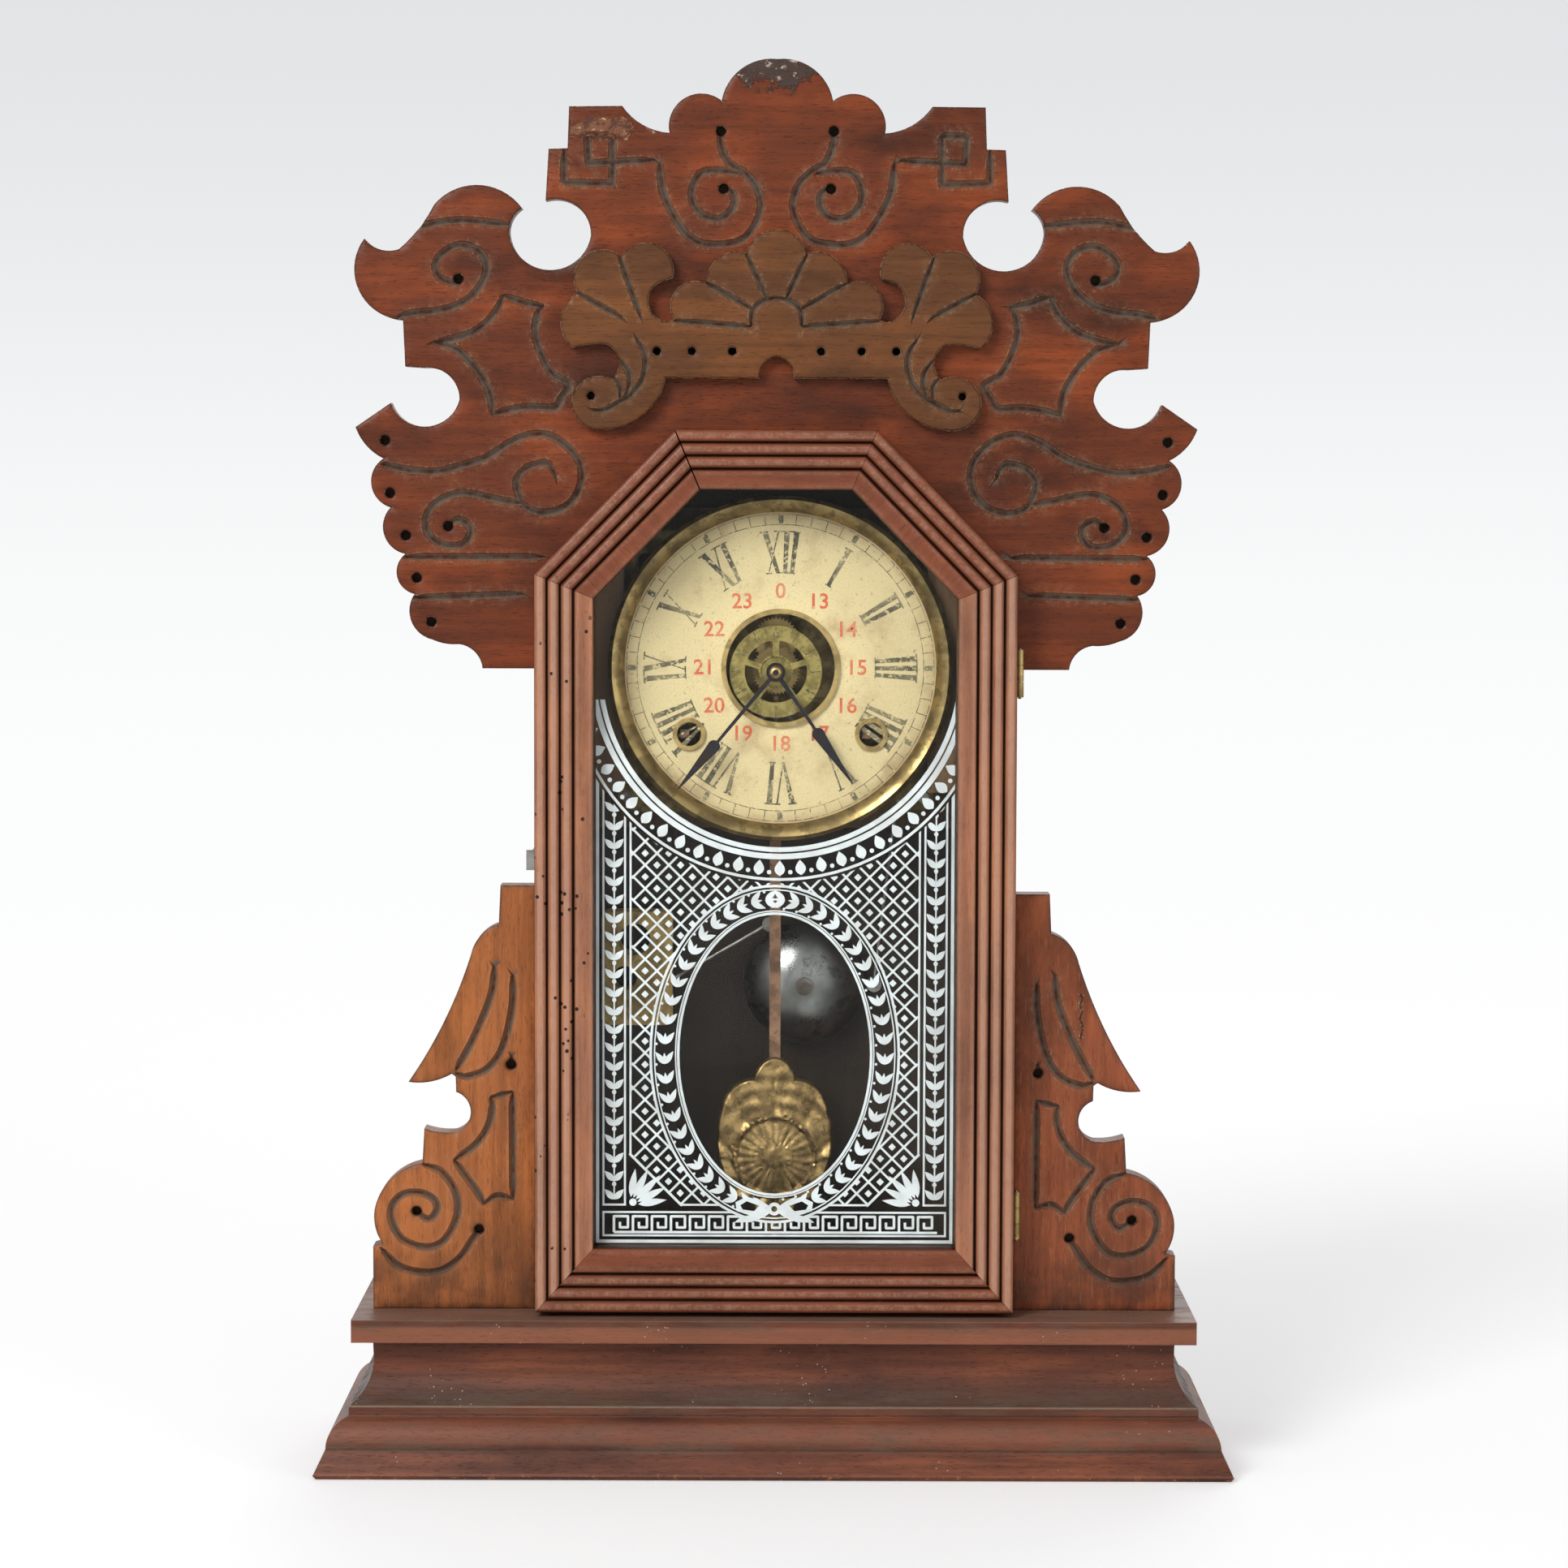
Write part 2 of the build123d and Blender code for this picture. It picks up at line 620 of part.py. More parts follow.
def grommet(side):
    x, z = DIAL_X + side * WINDING_X, DIAL_Z - WINDING_DROP
    sleeve_r = WINDING_HOLE_R + GROMMET_WALL
    return flanged_ring(x, z, WINDING_HOLE_R, sleeve_r, sleeve_r + GROMMET_WALL, GROMMET_PROUD)


save(flanged_ring(DIAL_X, DIAL_Z, DIAL_EYE_R - EYE_RING_WALL / 2, DIAL_EYE_R, DIAL_EYE_R + EYE_RING_WALL,
                  RING_PROUD), "dial_eye_ring")


save(group(grommet(side) for side in (-1, 1)), "winding_grommets")

# Battens inside the case: two carry the dial, two the movement

def dial_batten(side):
    back = DIAL_Y + BATTEN_DEPTH
    batten = box_between((DIAL_R - 5, DIAL_Y + DIAL_THICK, DIAL_Z - 50), (SIDE_INNER, back, DIAL_Z + 50))
    return batten if side > 0 else mirror(batten, about=Plane.YZ)


def movement_batten(rel_z):
    z = HANDS_Z + rel_z
    front, half = BACK_PLATE_Y + PLATE_THICK, BATTEN_DEPTH
    return box_between((-SIDE_INNER, front, z - half), (SIDE_INNER, BACKBOARD_Y, z + half))


battens = [dial_batten(-1), dial_batten(1)] + [movement_batten(z) for z in (PLATE_LOW, PLATE_HIGH)]
save(group(battens), "inner_battens")

# Movement: places are counted from the hands' centre

CENTRE = (0.0, 0.0)
TIME_WINDER = (WINDING_X, -25.2)
STRIKE_WINDER = (-WINDING_X, -25.2)
GREAT_TEETH, GREAT_MODULE = 78, 0.75
SECOND_TEETH, SECOND_MODULE = 66, 0.6
CENTRE_TEETH, CENTRE_MODULE = 72, 0.5
THIRD_TEETH, THIRD_MODULE = 84, 0.38
ESCAPE_TEETH, ESCAPE_R = 45, 13.0
LEAVES = 8
CANNON_TEETH, MINUTE_TEETH, MINUTE_MODULE = 12, 36, 0.5
NUT_TEETH, HOUR_TEETH, HOUR_MODULE = 10, 40, 0.48
MINUTE_STUD = (0.0, (CANNON_TEETH + MINUTE_TEETH) * MINUTE_MODULE / 2)


def spacing(module, teeth, leaves=LEAVES):
    return module * (teeth + leaves) / 2


def meeting(a, ra, b, rb, side):
    """The point at ra from a and rb from b, to the left (side 1) or right (-1) of the way a to b."""
    dx, dz = b[0] - a[0], b[1] - a[1]
    length = math.hypot(dx, dz)
    along = (ra * ra - rb * rb + length * length) / (2 * length)
    off = math.sqrt(ra * ra - along * along) * side
    return (a[0] + (along * dx - off * dz) / length, a[1] + (along * dz + off * dx) / length)


def stepped(a, distance, degrees):
    angle = math.radians(degrees)
    return (a[0] + distance * math.cos(angle), a[1] + distance * math.sin(angle))


GREAT_SPACING = spacing(GREAT_MODULE, GREAT_TEETH)
SECOND_SPACING = spacing(SECOND_MODULE, SECOND_TEETH)
TIME_SECOND = meeting(TIME_WINDER, GREAT_SPACING, CENTRE, SECOND_SPACING, -1)
TIME_THIRD = stepped(CENTRE, spacing(CENTRE_MODULE, CENTRE_TEETH), 258.5)
ESCAPE = (0.0, TIME_THIRD[1] - math.sqrt(spacing(THIRD_MODULE, THIRD_TEETH) ** 2 - TIME_THIRD[0] ** 2))
STRIKE_SECOND = stepped(STRIKE_WINDER, GREAT_SPACING, 92.7)
FLY = stepped(STRIKE_SECOND, SECOND_SPACING, 45.0)
SUSPENSION = (0.0, -14.0)
VERGE = (0.0, -18.6)
STRIKE_HAMMER = (50.0, -53.5)

GREAT_Y = BACK_PLATE_Y - 4.0
RATCHET_Y = GREAT_Y - ARBOR_PLAY - RATCHET_THICK
SECOND_Y = FRONT_PLATE_Y + 5.6
CENTRE_WHEEL_Y = FRONT_PLATE_Y + 10.0
THIRD_Y = FRONT_PLATE_Y + 2.6
ESCAPE_Y = FRONT_PLATE_Y - 3.5
MINUTE_WHEEL_Y = FRONT_PLATE_Y - 6.0
HOUR_WHEEL_Y = FRONT_PLATE_Y - 9.0


def rel(place):
    return (place[0], HANDS_Z + place[1])


def heading(a, b):
    return math.degrees(math.atan2(b[1] - a[1], b[0] - a[0]))


def toothed(teeth, module, towards, gap=False):
    """A wheel's outline about its own centre, with a tooth, or a gap, pointing in a direction."""
    pitch_r = module * teeth / 2
    root_r, tip_r = pitch_r - 1.0 * module, pitch_r + 0.7 * module
    pitch = 360 / teeth
    start = towards + (pitch / 2 if gap else 0)
    points = []
    for tooth in range(teeth):
        middle = start + tooth * pitch
        for radius, share in ((root_r, -0.25), (tip_r, -0.10), (tip_r, 0.10), (root_r, 0.25)):
            angle = math.radians(middle + share * pitch)
            points.append((radius * math.cos(angle), radius * math.sin(angle)))
    return Polygon(*points, align=None)


def wheel(place, teeth, module, towards, front, bore=0.0, crossings=5):
    """A toothed brass wheel with round crossings, meshing with the pinion it points to."""
    x, z = rel(place)
    face = Pos(x, z) * toothed(teeth, module, heading(place, towards))
    rim = module * teeth / 2 - RIM_WALL
    middle = (rim + HUB_R) / 2
    hole_r = min((rim - HUB_R) / 2, middle * math.sin(math.pi / max(crossings, 2)) - SPOKE_HALF)
    for spoke in range(crossings):
        hx, hz = stepped((x, z), middle, 90 + spoke * 360 / crossings)
        face -= disc(hx, hz, hole_r)
    if bore:
        face -= disc(x, z, bore)
    return slab(face, front, front + WHEEL_THICK)


def pinion(place, leaves, module, towards, front, back, bore=0.0):
    x, z = rel(place)
    face = Pos(x, z) * toothed(leaves, module, heading(place, towards), gap=True)
    if bore:
        face -= disc(x, z, bore)
    return slab(face, front, back)


def arbor(place, front=FRONT_PLATE_Y):
    """A steel arbor with a thin pivot at each end that runs in the plates, from the front given."""
    x, z = rel(place)
    bar = round_bar(x, z, ARBOR_R, FRONT_PLATE_Y + PLATE_THICK + ARBOR_PLAY, BACK_PLATE_Y - ARBOR_PLAY)
    return bar + round_bar(x, z, PIVOT_R, front, BACK_PLATE_Y + PLATE_THICK - PIVOT_SHORT)


PIVOTED = (TIME_SECOND, TIME_THIRD, ESCAPE, STRIKE_SECOND, FLY, STRIKE_HAMMER)


def plate(front):
    """A movement plate with its windows, pivot holes and pillar holes."""
    low, high = HANDS_Z + PLATE_LOW, HANDS_Z + PLATE_HIGH
    face = Pos(0, (low + high) / 2) * RectangleRounded(2 * PLATE_HALF, high - low, 6)
    for side in (-1, 1):
        face -= Pos(side * 44, HANDS_Z + 38) * RectangleRounded(26, 18, 4)
    for place in PIVOTED:
        face -= disc(*rel(place), PIVOT_R + RUNNING)
    for place in (TIME_WINDER, STRIKE_WINDER):
        face -= disc(*rel(place), WINDER_R + RUNNING)
    for place in PILLAR_PLACES:
        face -= disc(*rel(place), PILLAR_R / 2 + RUNNING)
    face -= disc(*rel(CENTRE), CENTRE_R + RUNNING)
    return slab(face, front, front + PLATE_THICK)


def front_plate():
    """The front plate with the studs riveted in it for the verge, pendulum and minute wheel."""
    whole = plate(FRONT_PLATE_Y)
    whole += round_bar(*rel(VERGE), VERGE_STUD_R, ESCAPE_Y - 1.1, FRONT_PLATE_Y)
    whole += round_bar(*rel(MINUTE_STUD), STUD_R, HOUR_WHEEL_Y - 1.4, FRONT_PLATE_Y)
    stud = round_bar(*rel(SUSPENSION), 2 * STUD_R, PENDULUM_Y - 2.4, FRONT_PLATE_Y)
    x, z = rel(SUSPENSION)
    slot_half = SPRING_LEAF_HALF + 0.3
    slot = box_between((x - slot_half, PENDULUM_Y - 1.6, z - 3), (x + slot_half, PENDULUM_Y + 1.6, z + 3))
    return whole + (stud - slot)


save(front_plate(), "movement_front_plate")
save(plate(BACK_PLATE_Y), "movement_back_plate")


def pillar(place):
    x, z = rel(place)
    post = round_bar(x, z, PILLAR_R, FRONT_PLATE_Y + PLATE_THICK, BACK_PLATE_Y)
    post += round_bar(x, z, PILLAR_R / 2, FRONT_PLATE_Y, BACK_PLATE_Y + PLATE_THICK)
    return post + round_bar(x, z, PILLAR_R * 0.9, FRONT_PLATE_Y - 2.4, FRONT_PLATE_Y)


save(group(pillar(place) for place in PILLAR_PLACES), "movement_pillars")


def mainspring(place, direction):
    """A flat strip wound as a spiral about the winding arbor."""
    x, z = rel(place)
    steps = SPRING_TURNS * 16
    inside, outside = [], []
    for step in range(steps + 1):
        angle = direction * 2 * math.pi * step / 16
        radius = SPRING_CORE_R + (SPRING_R - SPRING_STRIP - SPRING_CORE_R) * step / steps
        inside.append((x + radius * math.cos(angle), z + radius * math.sin(angle)))
        radius += SPRING_STRIP
        outside.append((x + radius * math.cos(angle), z + radius * math.sin(angle)))
    strip = Polygon(*inside, *reversed(outside), align=None)
    return slab(strip, SPRING_Y, RATCHET_Y - SPRING_CLEAR)


save(group([mainspring(TIME_WINDER, 1), mainspring(STRIKE_WINDER, -1)]), "mainsprings")


def great_wheel(place, towards):
    return wheel(place, GREAT_TEETH, GREAT_MODULE, towards, GREAT_Y, bore=WINDER_R + RUNNING)


def winding_arbor(place):
    """A winding arbor with its square end behind the dial's hole and its ratchet wheel."""
    x, z = rel(place)
    bar = round_bar(x, z, WINDER_R, FRONT_PLATE_Y - 1, BACK_PLATE_Y + PLATE_THICK)
    bar += slab(Pos(x, z) * Rectangle(WINDER_SQUARE, WINDER_SQUARE), DIAL_Y + 2, FRONT_PLATE_Y)
    ratchet = Pos(x, z) * toothed(RATCHET_TEETH, RATCHET_MODULE, 0)
    return bar + slab(ratchet, RATCHET_Y, RATCHET_Y + RATCHET_THICK)


def train_arbor(place, wheel_teeth, module, towards, wheel_front, pinion_module, driver, pinion_front):
    body = arbor(place) + wheel(place, wheel_teeth, module, towards, wheel_front)
    return body + pinion(place, LEAVES, pinion_module, driver, pinion_front, pinion_front + PINION_LENGTH)


save(great_wheel(TIME_WINDER, TIME_SECOND), "time_great_wheel")
save(winding_arbor(TIME_WINDER), "time_winding_arbor")
save(train_arbor(TIME_SECOND, SECOND_TEETH, SECOND_MODULE, CENTRE, SECOND_Y,
                 GREAT_MODULE, TIME_WINDER, GREAT_Y - PINION_LEAD), "time_second_wheel")

centre_bore = CENTRE_R + RUNNING
centre_wheel = wheel(CENTRE, CENTRE_TEETH, CENTRE_MODULE, TIME_THIRD, CENTRE_WHEEL_Y, bore=centre_bore)
centre_wheel += ring_band(*rel(CENTRE), centre_bore, centre_bore + PIPE_WALL, SECOND_Y + 1,
                          CENTRE_WHEEL_Y + 3)
centre_wheel += pinion(CENTRE, LEAVES, SECOND_MODULE, TIME_SECOND, SECOND_Y - PINION_LEAD,
                       SECOND_Y - PINION_LEAD + PINION_LENGTH, bore=centre_bore)
save(centre_wheel, "time_centre_wheel")
save(train_arbor(TIME_THIRD, THIRD_TEETH, THIRD_MODULE, ESCAPE, THIRD_Y,
                 CENTRE_MODULE, CENTRE, CENTRE_WHEEL_Y - PINION_LEAD), "time_third_wheel")


def escape_wheel():
    """The escape wheel in front of the plate, on an arbor whose pinion lies between the plates."""
    x, z = rel(ESCAPE)
    points = []
    for tooth in range(ESCAPE_TEETH):
        start = 2 * math.pi * tooth / ESCAPE_TEETH
        points.append((x + ESCAPE_R * math.cos(start), z + ESCAPE_R * math.sin(start)))
        root = start + math.pi / ESCAPE_TEETH * 0.5
        points.append((x + 0.87 * ESCAPE_R * math.cos(root), z + 0.87 * ESCAPE_R * math.sin(root)))
    face = Polygon(*points, align=None)
    for spoke in range(4):
        face -= disc(*stepped((x, z), 0.51 * ESCAPE_R, 45 + 90 * spoke), 0.22 * ESCAPE_R)
    body = slab(face, ESCAPE_Y, ESCAPE_Y + 1.0) + arbor(ESCAPE, ESCAPE_Y - ARBOR_PLAY)
    front = THIRD_Y - PINION_LEAD
    return body + pinion(ESCAPE, LEAVES, THIRD_MODULE, TIME_THIRD, front, front + PINION_LENGTH)


save(escape_wheel(), "escape_wheel")
save(great_wheel(STRIKE_WINDER, STRIKE_SECOND), "strike_great_wheel")
save(winding_arbor(STRIKE_WINDER), "strike_winding_arbor")
save(train_arbor(STRIKE_SECOND, SECOND_TEETH, SECOND_MODULE, FLY, SECOND_Y,
                 GREAT_MODULE, STRIKE_WINDER, GREAT_Y - PINION_LEAD), "strike_pin_wheel")


def strike_fly():
    """The fly's arbor and pinion, with the flat vane that slows the strike."""
    x, z = rel(FLY)
    front = SECOND_Y - PINION_LEAD
    body = arbor(FLY) + pinion(FLY, LEAVES, SECOND_MODULE, STRIKE_SECOND, front, front + PINION_LENGTH)
    vane_front, vane_back = CENTRE_WHEEL_Y + 2, BACK_PLATE_Y - 6
    return body + box_between((x - FLY_HALF, vane_front, z - 0.4), (x + FLY_HALF, vane_back, z + 0.4))


save(strike_fly(), "strike_fly")

# Hands and the wheels that join them

def hand(length, bulb_at, hub_r, degrees_clockwise, front, bore):
    """A hand with a thin stem, a bulb and a long point, turned clockwise from twelve."""
    blade = disc(0, 0, hub_r) + disc(0, bulb_at, 2.5)
    blade += Polygon((-0.9, 0), (0.9, 0), (0.6, bulb_at), (-0.6, bulb_at), align=None)
    blade += Polygon((-2.4, bulb_at + 0.6), (2.4, bulb_at + 0.6), (0.25, length), (-0.25, length), align=None)
    blade -= disc(0, 0, bore)
    x, z = rel(CENTRE)
    return slab(Pos(x, z) * Rot(0, 0, -degrees_clockwise) * blade, front, front + HAND_THICK)


PIPE_BORE = CANNON_R + CANNON_PLAY
PIPE_R = PIPE_BORE + PIPE_WALL

centre = round_bar(*rel(CENTRE), CENTRE_R, MINUTE_HAND_Y - 2.2, BACK_PLATE_Y + PLATE_THICK)
centre += round_bar(*rel(CENTRE), CANNON_R, MINUTE_HAND_Y + HAND_THICK, MINUTE_WHEEL_Y + 2)
centre += pinion(CENTRE, CANNON_TEETH, MINUTE_MODULE, MINUTE_STUD, MINUTE_WHEEL_Y - 0.4, MINUTE_WHEEL_Y + 1.6)
save(centre, "centre_arbor")
save(hand(MINUTE_LENGTH, MINUTE_BULB_AT, 3.2, MINUTE_ANGLE, MINUTE_HAND_Y, CENTRE_R), "minute_hand")
nut = turned_ring(*rel(CENTRE), filled(outline(
    (CENTRE_R, MINUTE_HAND_Y), (2.6, MINUTE_HAND_Y),
    ((2.2, MINUTE_HAND_Y - 1.3), (CENTRE_R, MINUTE_HAND_Y - 1.9)), (CENTRE_R, MINUTE_HAND_Y))))
save(nut, "hand_nut")

hour = wheel(CENTRE, HOUR_TEETH, HOUR_MODULE, MINUTE_STUD, HOUR_WHEEL_Y, bore=PIPE_BORE, crossings=0)
hour += ring_band(*rel(CENTRE), PIPE_BORE, PIPE_R, HOUR_HAND_Y - 0.6, HOUR_WHEEL_Y)
save(hour, "hour_wheel")
save(hand(HOUR_LENGTH, HOUR_BULB_AT, 3.8, HOUR_ANGLE, HOUR_HAND_Y, PIPE_R), "hour_hand")

stud_bore = STUD_R + RUNNING
motion = wheel(MINUTE_STUD, MINUTE_TEETH, MINUTE_MODULE, CENTRE, MINUTE_WHEEL_Y, bore=stud_bore, crossings=0)
motion += pinion(MINUTE_STUD, NUT_TEETH, HOUR_MODULE, CENTRE, HOUR_WHEEL_Y - 0.4, MINUTE_WHEEL_Y,
                 bore=stud_bore)
save(motion, "minute_wheel")


def alarm_disc():
    """The alarm setting disc: a rim and hub joined by five spokes, held on the hour pipe."""
    x, z = rel(CENTRE)
    face = disc(x, z, ALARM_DISC_R) - disc(x, z, ALARM_DISC_INNER_R)
    face += disc(x, z, ALARM_HUB_R)
    middle = (ALARM_HUB_R + ALARM_DISC_INNER_R) / 2
    bar = Rectangle(ALARM_DISC_INNER_R - ALARM_HUB_R + 1, ALARM_SPOKE)
    for spoke in range(5):
        face += Pos(x, z) * Rot(0, 0, 90 + 72 * spoke) * Pos(middle, 0) * bar
    face -= disc(x, z, PIPE_R + RUNNING)
    return slab(face, ALARM_DISC_Y, ALARM_DISC_Y + ALARM_DISC_THICK)


save(alarm_disc(), "alarm_disc")

# Escapement and pendulum

def verge():
    """The verge strip over the escape wheel, with the crutch that loops round the pendulum rod."""
    x, z = rel(VERGE)
    front, back = ESCAPE_Y - 0.4, ESCAPE_Y + 1.4
    arm = Polygon((-10.7, -7.6), (-9.8, -6.9), (-6.2, -1.9), (0, 0.9), (6.2, -1.9), (9.8, -6.9), (10.7, -7.6),
                  (10.2, -6.0), (6.6, -0.7), (0, 2.2), (-6.6, -0.7), (-10.2, -6.0), align=None)
    bore = round_bar(x, z, VERGE_STUD_R + RUNNING, front - 1, back + 1)
    body = slab(Pos(x, z) * arm + disc(x, z, VERGE_STUD_R + 1), front, back) - bore
    low = z - CRUTCH_DROP
    wire = 2 * CRUTCH_WIRE_R
    body += box_between((x - CRUTCH_WIRE_R, front - wire, low), (x + CRUTCH_WIRE_R, front, z - 0.9))
    half = ROD_WIDTH / 2 + CRUTCH_PLAY
    room = ROD_THICK / 2 + CRUTCH_PLAY
    loop = box_between((x - half - wire, PENDULUM_Y - room - wire, low), (x + half + wire, front, low + wire))
    loop -= box_between((x - half, PENDULUM_Y - room, low - 1), (x + half, PENDULUM_Y + room, low + 2))
    return body + loop


save(verge(), "verge")


def rod_strip(top, play=0.0):
    """The rod's flat strip from inside the bob up to a height."""
    half, thick = ROD_WIDTH / 2 + play, ROD_THICK / 2 + play
    return box_between((-half, PENDULUM_Y - thick, BOB_Z + BOB_HEIGHT / 2 - BOB_SLOT),
                       (half, PENDULUM_Y + thick, top))


def pendulum_rod():
    """The strip with its thin suspension spring and the cross piece that hangs in the stud."""
    pivot = rel(SUSPENSION)[1]
    half, deep = SPRING_LEAF_HALF, ROD_THICK
    spring = box_between((-half, PENDULUM_Y - deep, pivot - 12), (half, PENDULUM_Y + deep, pivot + 2.4))
    cross = box_between((-0.9, PENDULUM_Y - deep, pivot + 1.9), (0.9, PENDULUM_Y + deep, pivot + 3.4))
    return rod_strip(pivot - 10) + spring + cross


def bob():
    """The bob's body: a medallion between a crown of scrolls and a hanging leaf."""
    low, high = BOB_Z - BOB_HEIGHT / 2, BOB_Z + BOB_HEIGHT / 2
    half = BOB_WIDTH / 2
    face = both_halves(outline(
        (0, high), ((5.5, high - 3), (8.5, high - 9)), ((half * 0.78, high - 14), (half * 0.92, high - 22)),
        ((half, BOB_Z + 2), (half * 0.86, BOB_Z - 12)), ((half * 0.6, low + 15), (8.0, low + 14)),
        ((6.5, low + 5), (0, low))))
    body = slab(face, PENDULUM_Y - BOB_THICK / 2, PENDULUM_Y + BOB_THICK / 2)
    return body - rod_strip(high + 1)


save(pendulum_rod(), "pendulum_rod")
save(bob(), "pendulum_bob")

# Bell, hammers and the alarm

def dome_middle(start_r, start_y, end_r, end_y):
    """The middle point of an arc, in (radius, y), that leaves its start square to the axis."""
    run, drop = end_r - start_r, end_y - start_y
    radius = (run * run + drop * drop) / (2 * drop)
    half = math.asin(run / radius) / 2
    return (start_r + radius * math.sin(half), start_y + radius * (1 - math.cos(half)))


def bell_section():
    front, back = BELL_Y, BELL_Y + BELL_DEPTH
    inner_r, inner_y = BELL_R - BELL_WALL, BELL_Y + BELL_WALL
    return filled(outline(
        (POST_R, front), (BELL_CROWN_R, front),
        (dome_middle(BELL_CROWN_R, front, BELL_R, back), (BELL_R, back)),
        (inner_r, back), (dome_middle(BELL_CROWN_R, inner_y, inner_r, back), (BELL_CROWN_R, inner_y)),
        (POST_R, inner_y), (POST_R, front)))


save(turned_ring(BELL_X, BELL_Z, bell_section()), "bell")
post = round_bar(BELL_X, BELL_Z, POST_R - RUNNING, BELL_Y, BACKBOARD_Y)
post += round_bar(BELL_X, BELL_Z, 2 * POST_R, BELL_Y + BELL_WALL, BACKBOARD_Y - 4)
post += round_bar(BELL_X, BELL_Z, 1.8 * POST_R, BELL_Y - 2.0, BELL_Y)
save(post, "bell_post")


def bar_between(a, b, radius):
    """A round bar in the hammers' plane from one (x, z) to another."""
    start = Vector(a[0], HAMMER_Y, a[1])
    run = Vector(b[0], HAMMER_Y, b[1]) - start
    return extrude(Plane(start, z_dir=run) * Circle(radius), amount=run.length)


def hammer_arm(pivot, head):
    """The wire from a hammer's arbor and the head on its end."""
    head_bar = round_bar(*head, HAMMER_R, HAMMER_Y - HAMMER_HALF, HAMMER_Y + HAMMER_HALF)
    return bar_between(pivot, head, HAMMER_WIRE_R) + head_bar


hammer_reach = BELL_R + HAMMER_R + HAMMER_GAP
strike_head = (BELL_X + hammer_reach, BELL_Z)
save(arbor(STRIKE_HAMMER) + hammer_arm(rel(STRIKE_HAMMER), strike_head), "strike_hammer")
alarm_head = stepped((BELL_X, BELL_Z), hammer_reach, ALARM_HEAD_ANGLE)
ALARM_PIVOT = stepped(alarm_head, ALARM_ARM, ALARM_HEAD_ANGLE + 90)


def alarm_plate_face():
    face = Pos(ALARM_X, ALARM_Z) * RectangleRounded(ALARM_WIDTH, ALARM_HEIGHT, 3)
    face -= disc(ALARM_X - 1, ALARM_Z + 12, 6.5)
    face -= disc(ALARM_X - 5, ALARM_Z - 4, 5.0)
    face -= disc(*ALARM_PIVOT, ARBOR_R + RUNNING)
    return face


def alarm_frame():
    """Two pierced plates and their posts, screwed to the backboard."""
    frame = slab(alarm_plate_face(), ALARM_PLATE_Y, ALARM_PLATE_Y + ALARM_PLATE_THICK)
    frame += slab(alarm_plate_face(), ALARM_BACK_Y, ALARM_BACK_Y + ALARM_PLATE_THICK)
    across, up = ALARM_WIDTH / 2 - 3, ALARM_HEIGHT / 2 - 3
    for dx in (-across, across):
        for dz in (-up, up):
            frame += round_bar(ALARM_X + dx, ALARM_Z + dz, 1.6, ALARM_PLATE_Y - 0.8, BACKBOARD_Y)
    return frame


save(alarm_frame(), "alarm_frame")
alarm_arbor = round_bar(*ALARM_PIVOT, ARBOR_R, ALARM_PLATE_Y, ALARM_BACK_Y + ALARM_PLATE_THICK)
save(alarm_arbor + hammer_arm(ALARM_PIVOT, alarm_head), "alarm_hammer")

# Round-head screws through the backboard

def back_screw(x, z):
    """A screw with a round head, whose shank lies in the side board."""
    head = round_bar(x, z, SCREW_HEAD_R, BACKBOARD_BACK, BACKBOARD_BACK + SCREW_HEAD)
    head = fillet(head.edges().group_by(Axis.Y)[-1], SCREW_HEAD * 0.7)
    return head + round_bar(x, z, SCREW_R, BACKBOARD_BACK - SCREW_LENGTH, BACKBOARD_BACK)


SCREW_X = CASE_HALF - SIDE_THICK / 2
SCREW_HEIGHTS = (BASE_HEIGHT + SCREW_FROM_END, (BASE_HEIGHT + CASE_TOP) / 2, CASE_TOP - SCREW_FROM_END)
screws = [back_screw(side * SCREW_X, z) for side in (-1, 1) for z in SCREW_HEIGHTS]
save(group(screws), "backboard_screws")

pieces["backboard"] -= screws
pieces["case_left_side"] -= screws[:3]
pieces["case_right_side"] -= screws[3:]

for name, shape in pieces.items():
    export_step(shape, f"parts/{name}.step")
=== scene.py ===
"""Looks of a gingerbread clock: carved boards, reeded door, paper dial, stencilled glass, works and stage."""
import math
import random

import bmesh
import bpy
import numpy as np
from mathutils import Euler, Matrix, Vector
from mathutils.geometry import delaunay_2d_cdt
from mathutils.kdtree import KDTree


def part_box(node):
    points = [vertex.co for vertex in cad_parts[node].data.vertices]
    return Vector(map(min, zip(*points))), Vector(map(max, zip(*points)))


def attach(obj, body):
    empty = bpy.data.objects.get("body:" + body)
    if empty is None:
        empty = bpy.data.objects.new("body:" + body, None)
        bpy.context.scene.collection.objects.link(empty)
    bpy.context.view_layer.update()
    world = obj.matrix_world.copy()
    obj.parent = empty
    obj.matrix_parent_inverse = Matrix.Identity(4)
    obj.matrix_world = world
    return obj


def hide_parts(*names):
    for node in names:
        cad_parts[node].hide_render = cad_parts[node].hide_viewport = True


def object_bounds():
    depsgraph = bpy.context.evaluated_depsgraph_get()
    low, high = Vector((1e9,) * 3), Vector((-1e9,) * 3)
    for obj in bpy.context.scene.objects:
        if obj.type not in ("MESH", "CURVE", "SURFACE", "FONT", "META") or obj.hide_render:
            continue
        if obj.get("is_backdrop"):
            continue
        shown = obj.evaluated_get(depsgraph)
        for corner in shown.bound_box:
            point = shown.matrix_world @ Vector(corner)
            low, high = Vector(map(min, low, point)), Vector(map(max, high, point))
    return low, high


bl_info = {
    "name": "Gingerbread Clock",
    "version": (1, 0, 0),
    "blender": (4, 5, 0),
    "location": "View3D > Sidebar > Clock",
    "description": "Builds the looks of a gingerbread clock on its packed frame",
    "category": "Object",
}

